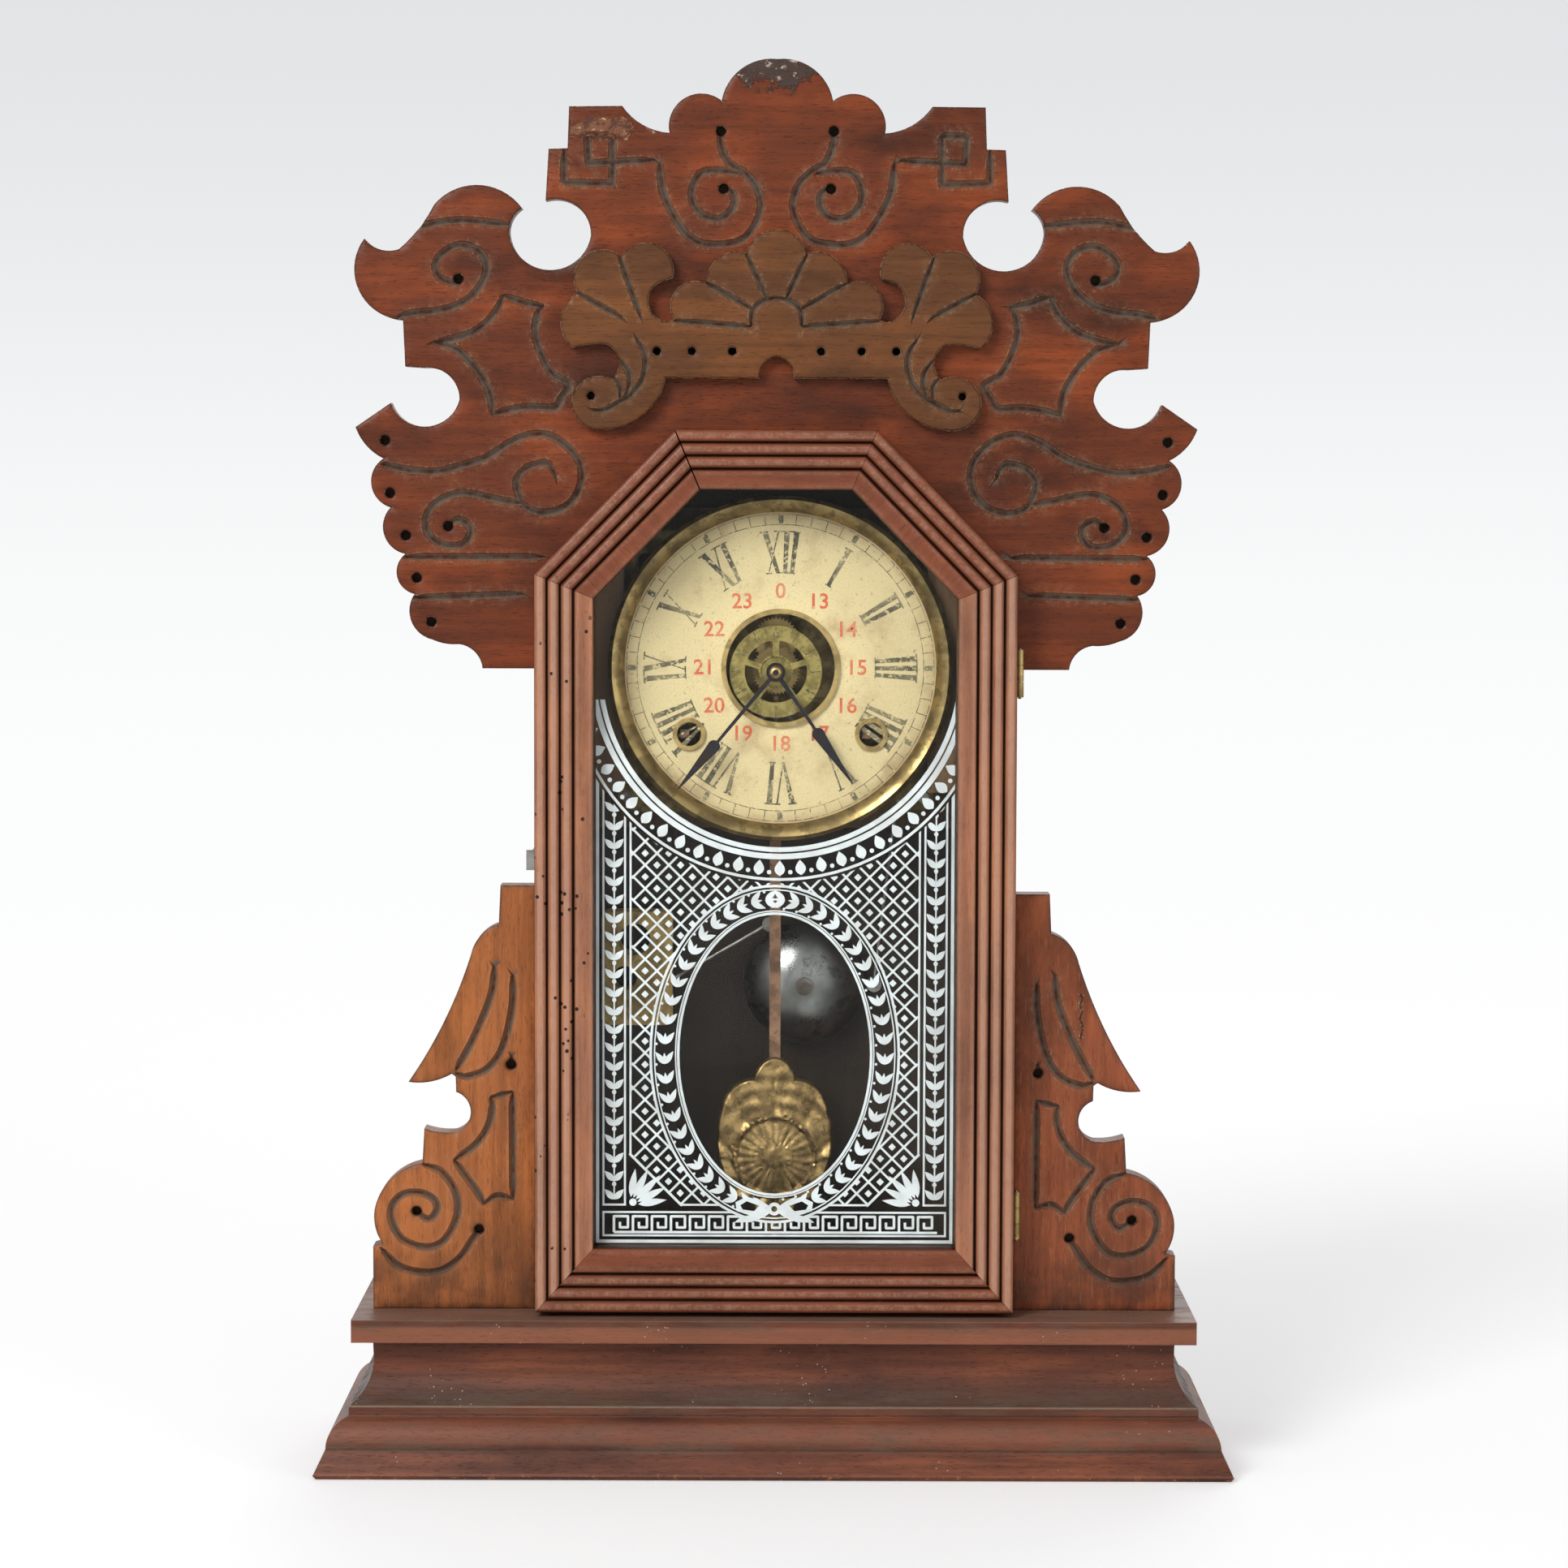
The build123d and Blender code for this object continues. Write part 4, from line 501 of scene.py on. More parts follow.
def base_finish(g, place, tint, height, rough):
    z = g.axes(place)[2]
    cloud = g.noise(g.scaled(place, (0.25, 1, 1)), 150, 5, 0.65)
    shelf = g.times(g.ramp(z, 0.0085, 0.012), g.ramp(z, 0.024, 0.016))
    under = g.times(g.ramp(z, 0.022, 0.026), g.ramp(z, 0.034, 0.028))
    edge = g.times(g.ramp(z, 0.0555, 0.0575), 0.8)
    dusty = g.math("MAXIMUM", g.math("MAXIMUM", shelf, under), edge)
    dusty = g.times(dusty, g.ramp(cloud, 0.40, 0.66, 0.08, 0.60))
    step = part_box("base_top_board")[0].z
    # Painted shade: the band above the pale line is darkened, most at its foot
    painted_cove_shade = g.times(g.ramp(z, 0.80 * step, 0.52 * step), g.ramp(z, 0.511 * step, 0.515 * step))
    tint = g.mix(g.times(painted_cove_shade, g.ramp(cloud, 0.3, 0.6, 0.55, 0.85)), tint, (0.060, 0.034, 0.026))
    # Painted highlight on the rounded part of the moulding
    roll = g.times(g.ramp(z, 0.22 * step, 0.30 * step), g.ramp(z, 0.43 * step, 0.36 * step))
    tint = g.mix(g.times(roll, 0.50), tint, (0.30, 0.105, 0.062))
    for share, width, ink, much in PLINTH_DUST_AND_SHADE_LINES:
        off = g.math("ABSOLUTE", g.math("SUBTRACT", z, share * step))
        line = g.times(g.ramp(off, width * step, 0.3 * width * step), g.ramp(cloud, 0.3, 0.55, 0.4, 1))
        tint = g.mix(g.times(line, much), tint, ink)
    # Painted highlight along the top board's front edge
    lit = g.times(g.ramp(z, 0.0515, 0.0525), g.ramp(z, 0.0590, 0.0575))
    tint = g.mix(g.times(lit, 0.45), tint, (0.42, 0.16, 0.09))
    tint = g.mix(dusty, tint, (0.125, 0.085, 0.058))
    top = g.ramp(z, 0.0605, 0.0609)
    tint = g.mix(g.times(top, 0.6), tint, (0.24, 0.14, 0.10))
    spots = group_use(g, patches(), place, 0.42, 300)
    few = g.ramp(g.noise(place, 45, 1, offset=(1, 4, 2)), 0.60, 0.66)
    tint = g.mix(g.times(spots["Specks"], few, 0.6), tint, (0.55, 0.52, 0.48))
    chip = g.times(spots["Mask"], g.ramp(z, 0.0030, 0.0012))
    tint = g.mix(g.times(chip, 0.8), tint, (0.42, 0.16, 0.06))
    return tint, height, g.ramp(dusty, 0, 0.8, 0.36, 0.80)


def metal_material(name, color, patina, rough=0.32, spread=0.5, size=140.0, brushed=(1, 1, 1)):
    """Metal with cloudy patina, fine scratches and specks."""
    material, g = new_material(name)
    place = g.place()
    spots = group_use(g, patches(), place, spread, size)
    cloud = g.ramp(g.noise(place, size * 0.6, 5), 0.35, 0.68)
    lines = g.noise(g.scaled(place, brushed), 1800, 3)
    tint = g.mix(g.times(cloud, 0.7), color, patina)
    tint = g.mix(g.times(spots["Mask"], 0.55), tint, patina)
    tint = g.mix(g.times(g.ramp(lines, 0.55, 0.75), 0.35), tint, tuple(c * 0.5 for c in color))
    roughness = g.math("ADD", g.ramp(cloud, 0, 1, rough, rough + 0.22), g.ramp(lines, 0.3, 0.7, 0, 0.08))
    surface(g, {"Base Color": tint, "Metallic": 1.0, "Roughness": roughness,
                "Normal": g.bump(lines, 0.02 * MM)})
    return material


def glass_material():
    material, g = new_material("Old Glass")
    place = g.place()
    wave = g.noise(place, 14, 2)
    shader, out = surface(g, {"Base Color": (0.97, 0.985, 0.97), "Roughness": 0.0, "IOR": 1.18,
                              "Transmission Weight": 1.0, "Normal": g.bump(wave, 0.1 * MM)})
    clear = g.add("ShaderNodeBsdfTransparent", {"Color": (0.96, 0.97, 0.96)})
    both = g.add("ShaderNodeMixShader", {0: g.add("ShaderNodeLightPath").outputs["Is Shadow Ray"]})
    g.tree.links.new(shader.outputs[0], both.inputs[1])
    g.tree.links.new(clear.outputs[0], both.inputs[2])
    g.tree.links.new(both.outputs[0], out.inputs[0])
    return material


def print_material(name, ink, ground, wear, size=420.0, rough=0.6):
    """Ink that has worn away in specks to the ground under it."""
    material, g = new_material(name)
    place = g.place()
    spots = group_use(g, patches(), place, wear, size)
    faded = g.ramp(g.noise(place, 90, 4), 0.35, 0.7, 0.0, 0.35)
    tint = g.mix(faded, ink, ground)
    tint = g.mix(g.times(spots["Mask"], 0.8), tint, ground)
    surface(g, {"Base Color": tint, "Roughness": rough, "Normal": g.bump(spots["Mask"], 0.02 * MM)})
    return material


def paper_material(settings):
    material, g = new_material("Dial Paper")
    place = g.place()
    low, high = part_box("dial_bezel")
    centre = ((low.x + high.x) / 2, 0, (low.z + high.z) / 2)
    flat = g.scaled(g.add("ShaderNodeVectorMath", {0: place, 1: centre}, operation="SUBTRACT").outputs[0],
                    (1, 0, 1))
    radius = g.length(flat)
    cloud = g.noise(place, 55, 6, 0.62)
    light = tuple(min(1, c * 1.12) for c in settings.paper)
    brown = (0.30, 0.19, 0.085)
    # Painted pool of light: the paper is lighter towards the dial's middle
    tint = g.mix(g.ramp(radius, 0.038, 0.022), settings.paper, light)
    tint = g.mix(g.ramp(cloud, 0.50, 0.78, 0.0, 0.65), tint, brown)
    edge = g.ramp(g.math("ADD", radius, g.times(cloud, 0.008)), 0.060, 0.068)
    tint = g.mix(g.times(edge, 0.6), tint, brown)
    tint = g.mix(g.ramp(g.noise(place, 1500, 3), 0.45, 0.72, 0.0, 0.40), tint, (0.34, 0.25, 0.12))
    spots = group_use(g, patches(), place, 0.38, 480)
    tint = g.mix(g.times(spots["Mask"], 0.55), tint, (0.16, 0.10, 0.045))
    tint = g.mix(g.times(spots["Specks"], 0.25), tint, (0.10, 0.06, 0.03))
    surface(g, {"Base Color": tint, "Roughness": 0.62, "Normal": g.bump(cloud, 0.12 * MM)})
    return material


RIGHT_BRACKET_TONE = (0.72, 0.60, 0.80)
BEZEL_TONE = 0.75
_made = {}


def recipes():
    """What makes each finish: a function and its arguments."""
    scene = bpy.context.scene
    crest, overlay, bracket, base, door, brass = (
        tuple(getattr(scene.clock_finish, key)) for key in ("crest", "overlay", "bracket", "base",
                                                            "door", "brass"))
    right_bracket = tuple(c * tone for c, tone in zip(bracket, RIGHT_BRACKET_TONE))
    paper, ink, red = (tuple(getattr(scene.clock_dial, key)) for key in ("paper", "ink", "red"))
    # Name, colour, grain's angle, grain, mottle, light, dark, extra, gloss
    woods = {
        "crest": ("Crest Wood", crest, 0.0, 0.55, 0.95, 1.9, 0.30, crest_finish),
        "overlay": ("Overlay Wood", overlay, 0.0, 0.7, 0.8, 1.6, 0.42, overlay_finish),
        "bracket_left": ("Left Bracket Wood", bracket, 90, 0.7, 0.8, 1.3, 0.36, bracket_finish),
        "bracket_right": ("Right Bracket Wood", right_bracket, 90, 0.7, 0.8, 1.35, 0.36, cracked),
        "base": ("Base Wood", base, 0.0, 0.85, 0.8, 1.5, 0.32, base_finish),
        "rail": ("Door Rail Wood", door, 0.0, 0.5, 0.6, 1.35, 0.42, door_finish),
        # The stiles' wood is a lighter copy of the rails': partly painted reflection, partly dust and wear
        "stile": ("Door Stile Wood", (0.38, 0.155, 0.086), 90, 0.7, 0.8, 1.35, 0.42, worm_eaten),
        "slant_left": ("Left Slant Wood", door, -45.7, 0.5, 0.6, 1.35, 0.42, door_finish),
        "slant_right": ("Right Slant Wood", door, 45.7, 0.5, 0.6, 1.35, 0.42, door_finish),
        "case": ("Case Wood", (0.115, 0.046, 0.030), 90, 0.7, 0.6, 1.35, 0.42, None, 0.03),
        "plain": ("Plain Wood", (0.15, 0.085, 0.042), 90, 0.8, 0.5, 1.35, 0.42, None, 0.0),
        "back": ("Backboard Wood", (0.20, 0.115, 0.055), 90, 0.8, 0.5, 1.35, 0.42, dark_inside, 0.0),
    }
    # Name, colour, patina, roughness, spread, size of the patches
    metals = {
        "works": ("Old Brass", (0.23, 0.17, 0.075), (0.060, 0.042, 0.020), 0.36, 0.50),
        "brass": ("Brass", brass, (0.165, 0.120, 0.050), 0.34, 0.46),
        "bezel": ("Bezel Brass", tuple(c * BEZEL_TONE for c in brass), (0.10, 0.070, 0.030), 0.30, 0.50),
        "disc": ("Alarm Disc Brass", (0.36, 0.29, 0.10), (0.13, 0.10, 0.035), 0.38, 0.48, 260.0),
        "cast": ("Cast Brass", (0.46, 0.31, 0.13), (0.085, 0.055, 0.025), 0.36, 0.52, 220.0),
        "copper": ("Copper Rod", (0.33, 0.19, 0.12), (0.12, 0.075, 0.05), 0.42),
        "steel": ("Steel", (0.36, 0.35, 0.33), (0.12, 0.085, 0.06), 0.36, 0.46),
        "blued": ("Blued Steel", (0.030, 0.030, 0.040), (0.045, 0.030, 0.022), 0.34, 0.42, 260.0),
        "nickel": ("Bell Nickel", (0.40, 0.41, 0.40), (0.10, 0.095, 0.08), 0.24, 0.45, 70.0),
    }
    # Name, ink, ground, wear, size of the worn specks, roughness
    prints = {
        "ink": ("Black Ink", ink, paper, 0.46, 600.0),
        "red": ("Red Ink", red, paper, 0.40),
        "engraved": ("Engraved Black", (0.03, 0.025, 0.012), (0.16, 0.12, 0.05), 0.38),
        "tablet": ("Tablet Print", tuple(scene.clock_tablet.color), (0.30, 0.29, 0.27), 0.34, 260.0, 0.45),
    }
    found = {"glass": (glass_material,), "paper": (paper_material, scene.clock_dial)}
    for maker, table in ((wood_material, woods), (metal_material, metals), (print_material, prints)):
        found.update({key: (maker, *given) for key, given in table.items()})
    return found


def finish(name):
    """The material of one finish, made the first time it is asked for."""
    if name not in _made:
        maker, *given = recipes()[name]
        _made[name] = maker(*given)
    return _made[name]


def give(material_name, *nodes):
    """Puts a finish on CAD nodes that stay."""
    for node in nodes:
        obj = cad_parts[node]
        if not obj.material_slots:
            obj.data.materials.append(finish(material_name))
        for slot in obj.material_slots:
            slot.material = finish(material_name)


# Mesh helpers; lengths in mm

LINE_STEP = 0.3
TAPER_RUN = 5.0
GROOVE_ROWS = (0, 0.4, -0.4, 0.75, -0.75, 1, -1, 1.3, -1.3)
RIM_STEP = 1.4
RIM_SAMPLE = 0.4
RIM_ROWS = (0.35, 0.9)
RIM_CLEAR = 0.28
EDGE_BAND = 0.9
CELL = 0.33
LIP_AT, LIP_SPREAD = 1.05, 0.22
RIM_FADE = 0.8


def make_piece(name, verts, faces, finish_name, body, attributes=None, sharp=38.0, smooth=True):
    """A mesh piece, with its points in mm, riding on a body."""
    mesh = bpy.data.meshes.new(name)
    mesh.from_pydata([(x * MM, y * MM, z * MM) for x, y, z in verts], [], faces)
    for label, values in (attributes or {}).items():
        data = mesh.attributes.new(label, "FLOAT", "POINT").data
        data.foreach_set("value", np.asarray(values, np.float32))
    mesh.materials.append(finish(finish_name))
    if smooth:
        mesh.polygons.foreach_set("use_smooth", [True] * len(mesh.polygons))
        mesh.set_sharp_from_angle(angle=math.radians(sharp))
    obj = bpy.data.objects.new(name, mesh)
    bpy.context.scene.collection.objects.link(obj)
    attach(obj, body)
    return obj


def signed_area(loop):
    return sum(a[0] * b[1] - b[0] * a[1] for a, b in zip(loop, loop[1:] + loop[:1])) / 2


def counterclockwise(loop):
    return loop if signed_area(loop) > 0 else loop[::-1]


def flat_loops(node, y):
    """Outline and holes, in mm, of a node's faces that lie at one y; the largest loop is first."""
    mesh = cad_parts[node].data
    points = np.empty(len(mesh.vertices) * 3, np.float32)
    mesh.vertices.foreach_get("co", points)
    points = points.reshape(-1, 3) * TO_MM
    mesh.calc_loop_triangles()
    keys = [(round(float(p[0]), 3), round(float(p[2]), 3)) for p in points]
    level = np.abs(points[:, 1] - y) < 0.02
    edges = set()
    for tri in mesh.loop_triangles:
        a, b, c = tri.vertices
        if level[a] and level[b] and level[c]:
            corners = counterclockwise([keys[a], keys[b], keys[c]])
            edges.update(zip(corners, corners[1:] + corners[:1]))
    follow = {a: b for a, b in edges if (b, a) not in edges}
    if not follow:
        raise RuntimeError(f"no flat face of {node} at {y}")
    loops = []
    while follow:
        start, here = follow.popitem()
        loop = [start]
        while here != start:
            loop.append(here)
            here = follow.pop(here)
        loops.append(counterclockwise(loop))
    return sorted(loops, key=lambda loop: -abs(signed_area(loop)))


def denser(loop, step, closed=True):
    points = []
    ends = loop[1:] + loop[:1] if closed else loop[1:]
    for a, b in zip(loop, ends):
        count = max(1, math.ceil(math.dist(a, b) / step))
        points += [(a[0] + (b[0] - a[0]) * i / count, a[1] + (b[1] - a[1]) * i / count) for i in range(count)]
    return points if closed else points + [loop[-1]]


def is_fret(points):
    return [(abs(x), z) for x, z in points] == FRET


def smooth_line(points, step=LINE_STEP):
    """A curve through the points, evenly sampled; the square fret keeps its corners."""
    if len(points) < 3 or is_fret(points):
        return denser(list(points), step, closed=False)
    padded = [points[0]] + list(points) + [points[-1]]
    line = []
    for a, b, c, d in zip(padded, padded[1:], padded[2:], padded[3:]):
        count = max(2, math.ceil(math.dist(b, c) / step))
        for i in range(count):
            t = i / count
            line.append(tuple(
                0.5 * (2 * b[k] + (c[k] - a[k]) * t + (2 * a[k] - 5 * b[k] + 4 * c[k] - d[k]) * t * t
                       + (3 * b[k] - a[k] - 3 * c[k] + d[k]) * t ** 3) for k in (0, 1)))
    return line + [tuple(points[-1])]


def triangulate(points, faces):
    coords, _, tris, from_verts, _, from_faces = delaunay_2d_cdt(
        [Vector(p) for p in points], [], faces, 0, 1e-5)
    return [tuple(c) for c in coords], tris, from_verts, from_faces


class Nearby:
    """Distance from a place to the nearest of many points, with each point's own value."""

    def __init__(self, points, values=None):
        self.tree = KDTree(len(points))
        for index, (x, z) in enumerate(points):
            self.tree.insert((x, z, 0), index)
        self.tree.balance()
        self.values = values

    def find(self, x, z):
        _, index, distance = self.tree.find((x, z, 0))
        return distance, (self.values[index] if self.values else 0)


def inside(points, loops):
    """Which points lie in the first loop and in no other."""
    pts = np.array(points)
    result = np.zeros(len(pts), int)
    for order, loop in enumerate(loops):
        a = np.array(loop)
        b = np.roll(a, -1, axis=0)
        odd = np.zeros(len(pts), bool)
        for (ax, az), (bx, bz) in zip(a, b):
            if az == bz:
                continue
            cross = (pts[:, 1] < az) != (pts[:, 1] < bz)
            odd ^= cross & (pts[:, 0] < ax + (pts[:, 1] - az) * (bx - ax) / (bz - az))
        result += odd if order == 0 else -odd.astype(int)
    return result > 0


def both_sides(lines):
    return [list(line) for line in lines] + [[(-x, z) for x, z in line] for line in lines]


def relief_board(name, node, front, back, finish_name, body="case", lines=(), width=3.5, deep=1.5,
                 edge=0.6, grid=4.0, height=None, drill=6.0):
    """A flat board with a worn edge, carved lines and drillings, on the outline of its node."""
    loops = [denser(loop, RIM_STEP) for loop in flat_loops(node, front)]
    back_loops = flat_loops(node, back)
    middles = [np.mean(loop, axis=0) for loop in back_loops[1:]]
    through = [any(np.linalg.norm(np.mean(loop, axis=0) - middle) < 1.0 for middle in middles)
               for loop in loops[1:]]
    rims = Nearby([p for loop in loops for p in denser(loop, RIM_SAMPLE)])
    samples, halves = [], []
    wanted = []
    for line in lines:
        path = smooth_line(line)
        total = len(path)
        for i, (x, z) in enumerate(path):
            taper = min(1.0, 0.45 + 0.55 * min(i, total - 1 - i) * LINE_STEP / TAPER_RUN)
            samples.append((x, z))
            halves.append(width / 2 * taper)
            if i % 3 == 0:
                ahead, behind = path[min(i + 1, total - 1)], path[max(i - 1, 0)]
                run = math.dist(ahead, behind) or 1.0
                nx, nz = -(ahead[1] - behind[1]) / run, (ahead[0] - behind[0]) / run
                for share in GROOVE_ROWS:
                    offset = share * halves[-1]
                    wanted.append((x + nx * offset, z + nz * offset))
    cuts = Nearby(samples, halves) if samples else None
    for loop in loops:
        for inset in RIM_ROWS:
            dense = denser(loop, RIM_STEP)
            for a, b in zip(dense, dense[1:] + dense[:1]):
                run = math.dist(a, b) or 1.0
                sign = 1 if loop is loops[0] else -1
                mx, mz = (a[0] + b[0]) / 2, (a[1] + b[1]) / 2
                wanted.append((mx - sign * (b[1] - a[1]) / run * inset,
                               mz + sign * (b[0] - a[0]) / run * inset))
    xs = [p[0] for p in loops[0]]
    zs = [p[1] for p in loops[0]]
    seeded = random.Random(len(name))
    rows = np.arange(min(zs), max(zs), grid)
    for row, z in enumerate(rows):
        for x in np.arange(min(xs) + (row % 2) * grid / 2, max(xs), grid):
            spot = (float(x) + seeded.uniform(-.1, .1) * grid, float(z) + seeded.uniform(-.1, .1) * grid)
            if cuts is None or cuts.find(*spot)[0] > width * 0.9:
                wanted.append(spot)
    wanted = [p for p, ok in zip(wanted, inside(wanted, loops)) if ok and rims.find(*p)[0] > RIM_CLEAR]
    cells, chosen = set(), []
    for x, z in wanted:
        cell = (round(x / CELL), round(z / CELL))
        if cell not in cells:
            cells.add(cell)
            chosen.append((x, z))
    flat, faces = [], []
    for loop in loops:
        faces.append(list(range(len(flat), len(flat) + len(loop))))
        flat += loop
    coords, tris, from_verts, owners = triangulate(flat + chosen, faces)
    lookup = {old: new for new, olds in enumerate(from_verts) for old in olds}
    verts, groove, lip, rim = [], [], [], []
    for x, z in coords:
        far = rims.find(x, z)[0]
        share = 9.0
        if cuts:
            distance, half = cuts.find(x, z)
            share = distance / half
        cut = max(0.0, 1 - share * share) ** 0.8 if share < 1 else 0.0
        sunk = edge * max(0.0, 1 - far / EDGE_BAND) ** 2 + deep * cut + (height(x, z) if height else 0.0)
        verts.append((x, front + sunk, z))
        groove.append(cut)
        lip.append(math.exp(-((share - LIP_AT) / LIP_SPREAD) ** 2))
        rim.append(math.exp(-far / RIM_FADE))
    mesh_faces = [tuple(t) for t, own in zip(tris, owners) if list(own) == [0]]

    def ring(loop_index, y, value):
        first = len(verts)
        for x, z in loops[loop_index]:
            verts.append((x, y, z))
            groove.append(value)
            lip.append(0.0)
            rim.append(0.4)
        return list(range(first, len(verts)))

    def wall(upper, lower, outward):
        for i in range(len(upper)):
            j = (i + 1) % len(upper)
            quad = (upper[j], upper[i], lower[i], lower[j])
            mesh_faces.append(quad if outward else quad[::-1])

    backs = []
    for index in range(len(loops)):
        top = [lookup[i] for i in faces[index]]
        outer = index == 0
        if outer or through[index - 1]:
            low = ring(index, back, 0.2)
            backs.append((index, low))
        else:
            low = ring(index, front + drill, 0.95)
            mesh_faces.append(tuple(low))
        wall(top, low, outer)
    flat, faces, owner = [], [], []
    for index, low in backs:
        faces.append(list(range(len(flat), len(flat) + len(low))))
        flat += loops[index]
        owner += low
    _, tris, from_verts, owners = triangulate(flat, faces)
    for tri, own in zip(tris, owners):
        if list(own) == [0]:
            mesh_faces.append(tuple(owner[from_verts[v][0]] for v in tri)[::-1])
    piece = make_piece(name, verts, mesh_faces, finish_name, body,
                       {"groove": groove, "lip": lip, "rim": rim})
    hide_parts(node)
    return piece


def flat_layer(name, shapes, front, back, finish_name, body):
    """A thin closed layer from shapes laid one over another; a shape is (painted or cleared, loop)."""
    points, faces, painted = [], [], []
    for on, loop in shapes:
        loop = counterclockwise(list(loop))
        faces.append(list(range(len(points), len(points) + len(loop))))
        points += loop
        painted.append(on)
    coords, tris, _, owners = triangulate(points, faces)
    kept = [tuple(t) for t, own in zip(tris, owners) if own and painted[max(own)]]
    used = sorted({v for tri in kept for v in tri})
    order = {v: i for i, v in enumerate(used)}
    count = len(used)
    verts = [(coords[v][0], front, coords[v][1]) for v in used]
    verts += [(coords[v][0], back, coords[v][1]) for v in used]
    faces = []
    edges = set()
    for tri in kept:
        a, b, c = (order[v] for v in tri)
        faces += [(a, b, c), (c + count, b + count, a + count)]
        edges.update([(a, b), (b, c), (c, a)])
    faces += [(b, a, a + count, b + count) for a, b in edges if (b, a) not in edges]
    return make_piece(name, verts, faces, finish_name, body, smooth=False)


def circle(x, z, radius, count=48, squash=1.0):
    angles = [2 * math.pi * i / count for i in range(count)]
    return [(x + radius * math.cos(a), z + radius * squash * math.sin(a)) for a in angles]


def ribbon(points, width, taper=False):
    """A band of even or tapering width along a line of points."""
    left, right = [], []
    total = len(points)
    for i, (x, z) in enumerate(points):
        ahead, behind = points[min(i + 1, total - 1)], points[max(i - 1, 0)]
        run = math.dist(ahead, behind) or 1.0
        half = width / 2 * (math.sin(math.pi * (i + 0.3) / (total - 0.4)) if taper else 1)
        nx, nz = -(ahead[1] - behind[1]) / run * half, (ahead[0] - behind[0]) / run * half
        left.append((x + nx, z + nz))
        right.append((x - nx, z - nz))
    return left + right[::-1]


def leaf(x, z, angle, length, width):
    """A pointed leaf from its foot at x, z."""
    side = []
    for i in range(7):
        t = i / 6
        side.append((length * t, width / 2 * math.sin(math.pi * t ** 0.8)))
    loop = side + [(u, -v) for u, v in side[-2:0:-1]]
    c, s = math.cos(angle), math.sin(angle)
    return [(x + u * c - v * s, z + u * s + v * c) for u, v in loop]


def around(x, z, radius, angle):
    """The place at a distance and an angle from x, z."""
    return x + radius * math.cos(angle), z + radius * math.sin(angle)


def block(x0, z0, x1, z1):
    """A rectangle between two corners."""
    return [(x0, z0), (x1, z0), (x1, z1), (x0, z1)]


def ring_tree():
    """Geometry nodes: small blocks or beads, evenly spaced on a ring in the front plane."""
    name = "Ring Of Pieces"
    if name in bpy.data.node_groups:
        return bpy.data.node_groups[name]
    tree = bpy.data.node_groups.new(name, "GeometryNodeTree")
    tree.interface.new_socket("Geometry", in_out="OUTPUT", socket_type="NodeSocketGeometry")
    for label, kind in (("Count", "Int"), ("Radius", "Float"), ("Piece Size", "Vector"), ("Centre", "Vector"),
                        ("Round", "Bool"), ("Material", "Material")):
        tree.interface.new_socket(label, in_out="INPUT", socket_type="NodeSocket" + kind)
    g = Graph(tree)
    given = g.add("NodeGroupInput").outputs
    ring = g.add("GeometryNodeMeshCircle", {"Vertices": given["Count"], "Radius": given["Radius"]})
    block = g.add("GeometryNodeMeshCube")
    bead = g.add("GeometryNodeMeshUVSphere", {"Segments": 10, "Rings": 6, "Radius": 0.5})
    shape = g.add("GeometryNodeSwitch", {"Switch": given["Round"], "False": block.outputs["Mesh"],
                                         "True": bead.outputs["Mesh"]}, input_type="GEOMETRY")
    where = g.add("GeometryNodeInputPosition")
    turn = g.add("FunctionNodeAlignRotationToVector", {"Vector": where.outputs[0]}, axis="X")
    spread = g.add("GeometryNodeInstanceOnPoints", {"Points": ring.outputs["Mesh"],
                                                    "Instance": shape.outputs[0],
                                                    "Rotation": turn.outputs[0],
                                                    "Scale": given["Piece Size"]})
    stand = g.add("GeometryNodeTransform",
                  {"Geometry": spread.outputs[0], "Translation": given["Centre"],
                   "Rotation": Euler((math.pi / 2, 0, 0))})
    real = g.add("GeometryNodeRealizeInstances", {"Geometry": stand.outputs[0]})
    painted = g.add("GeometryNodeSetMaterial",
                    {"Geometry": real.outputs[0], "Material": given["Material"]})
    out = g.add("NodeGroupOutput")
    tree.links.new(painted.outputs[0], out.inputs[0])
    return tree


def ring_of_pieces(name, count, radius, size, centre, finish_name, body, bead=False):
    """A plain mesh from the ring tree; lengths in mm."""
    obj = bpy.data.objects.new(name, bpy.data.meshes.new(name))
    bpy.context.scene.collection.objects.link(obj)
    modifier = obj.modifiers.new("Ring", "NODES")
    tree = ring_tree()
    modifier.node_group = tree
    values = {"Count": count, "Radius": radius * MM, "Piece Size": [s * MM for s in size],
              "Centre": [c * MM for c in centre], "Round": bead, "Material": finish(finish_name)}
    for item in tree.interface.items_tree:
        if item.item_type == "SOCKET" and item.in_out == "INPUT":
            modifier[item.identifier] = values[item.name]
    graph = bpy.context.evaluated_depsgraph_get()
    mesh = bpy.data.meshes.new_from_object(obj.evaluated_get(graph))
    obj.modifiers.clear()
    obj.data = mesh
    if bead:
        mesh.polygons.foreach_set("use_smooth", [True] * len(mesh.polygons))
    if not mesh.polygons:
        raise RuntimeError(f"{name} came out empty")
    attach(obj, body)
    return obj


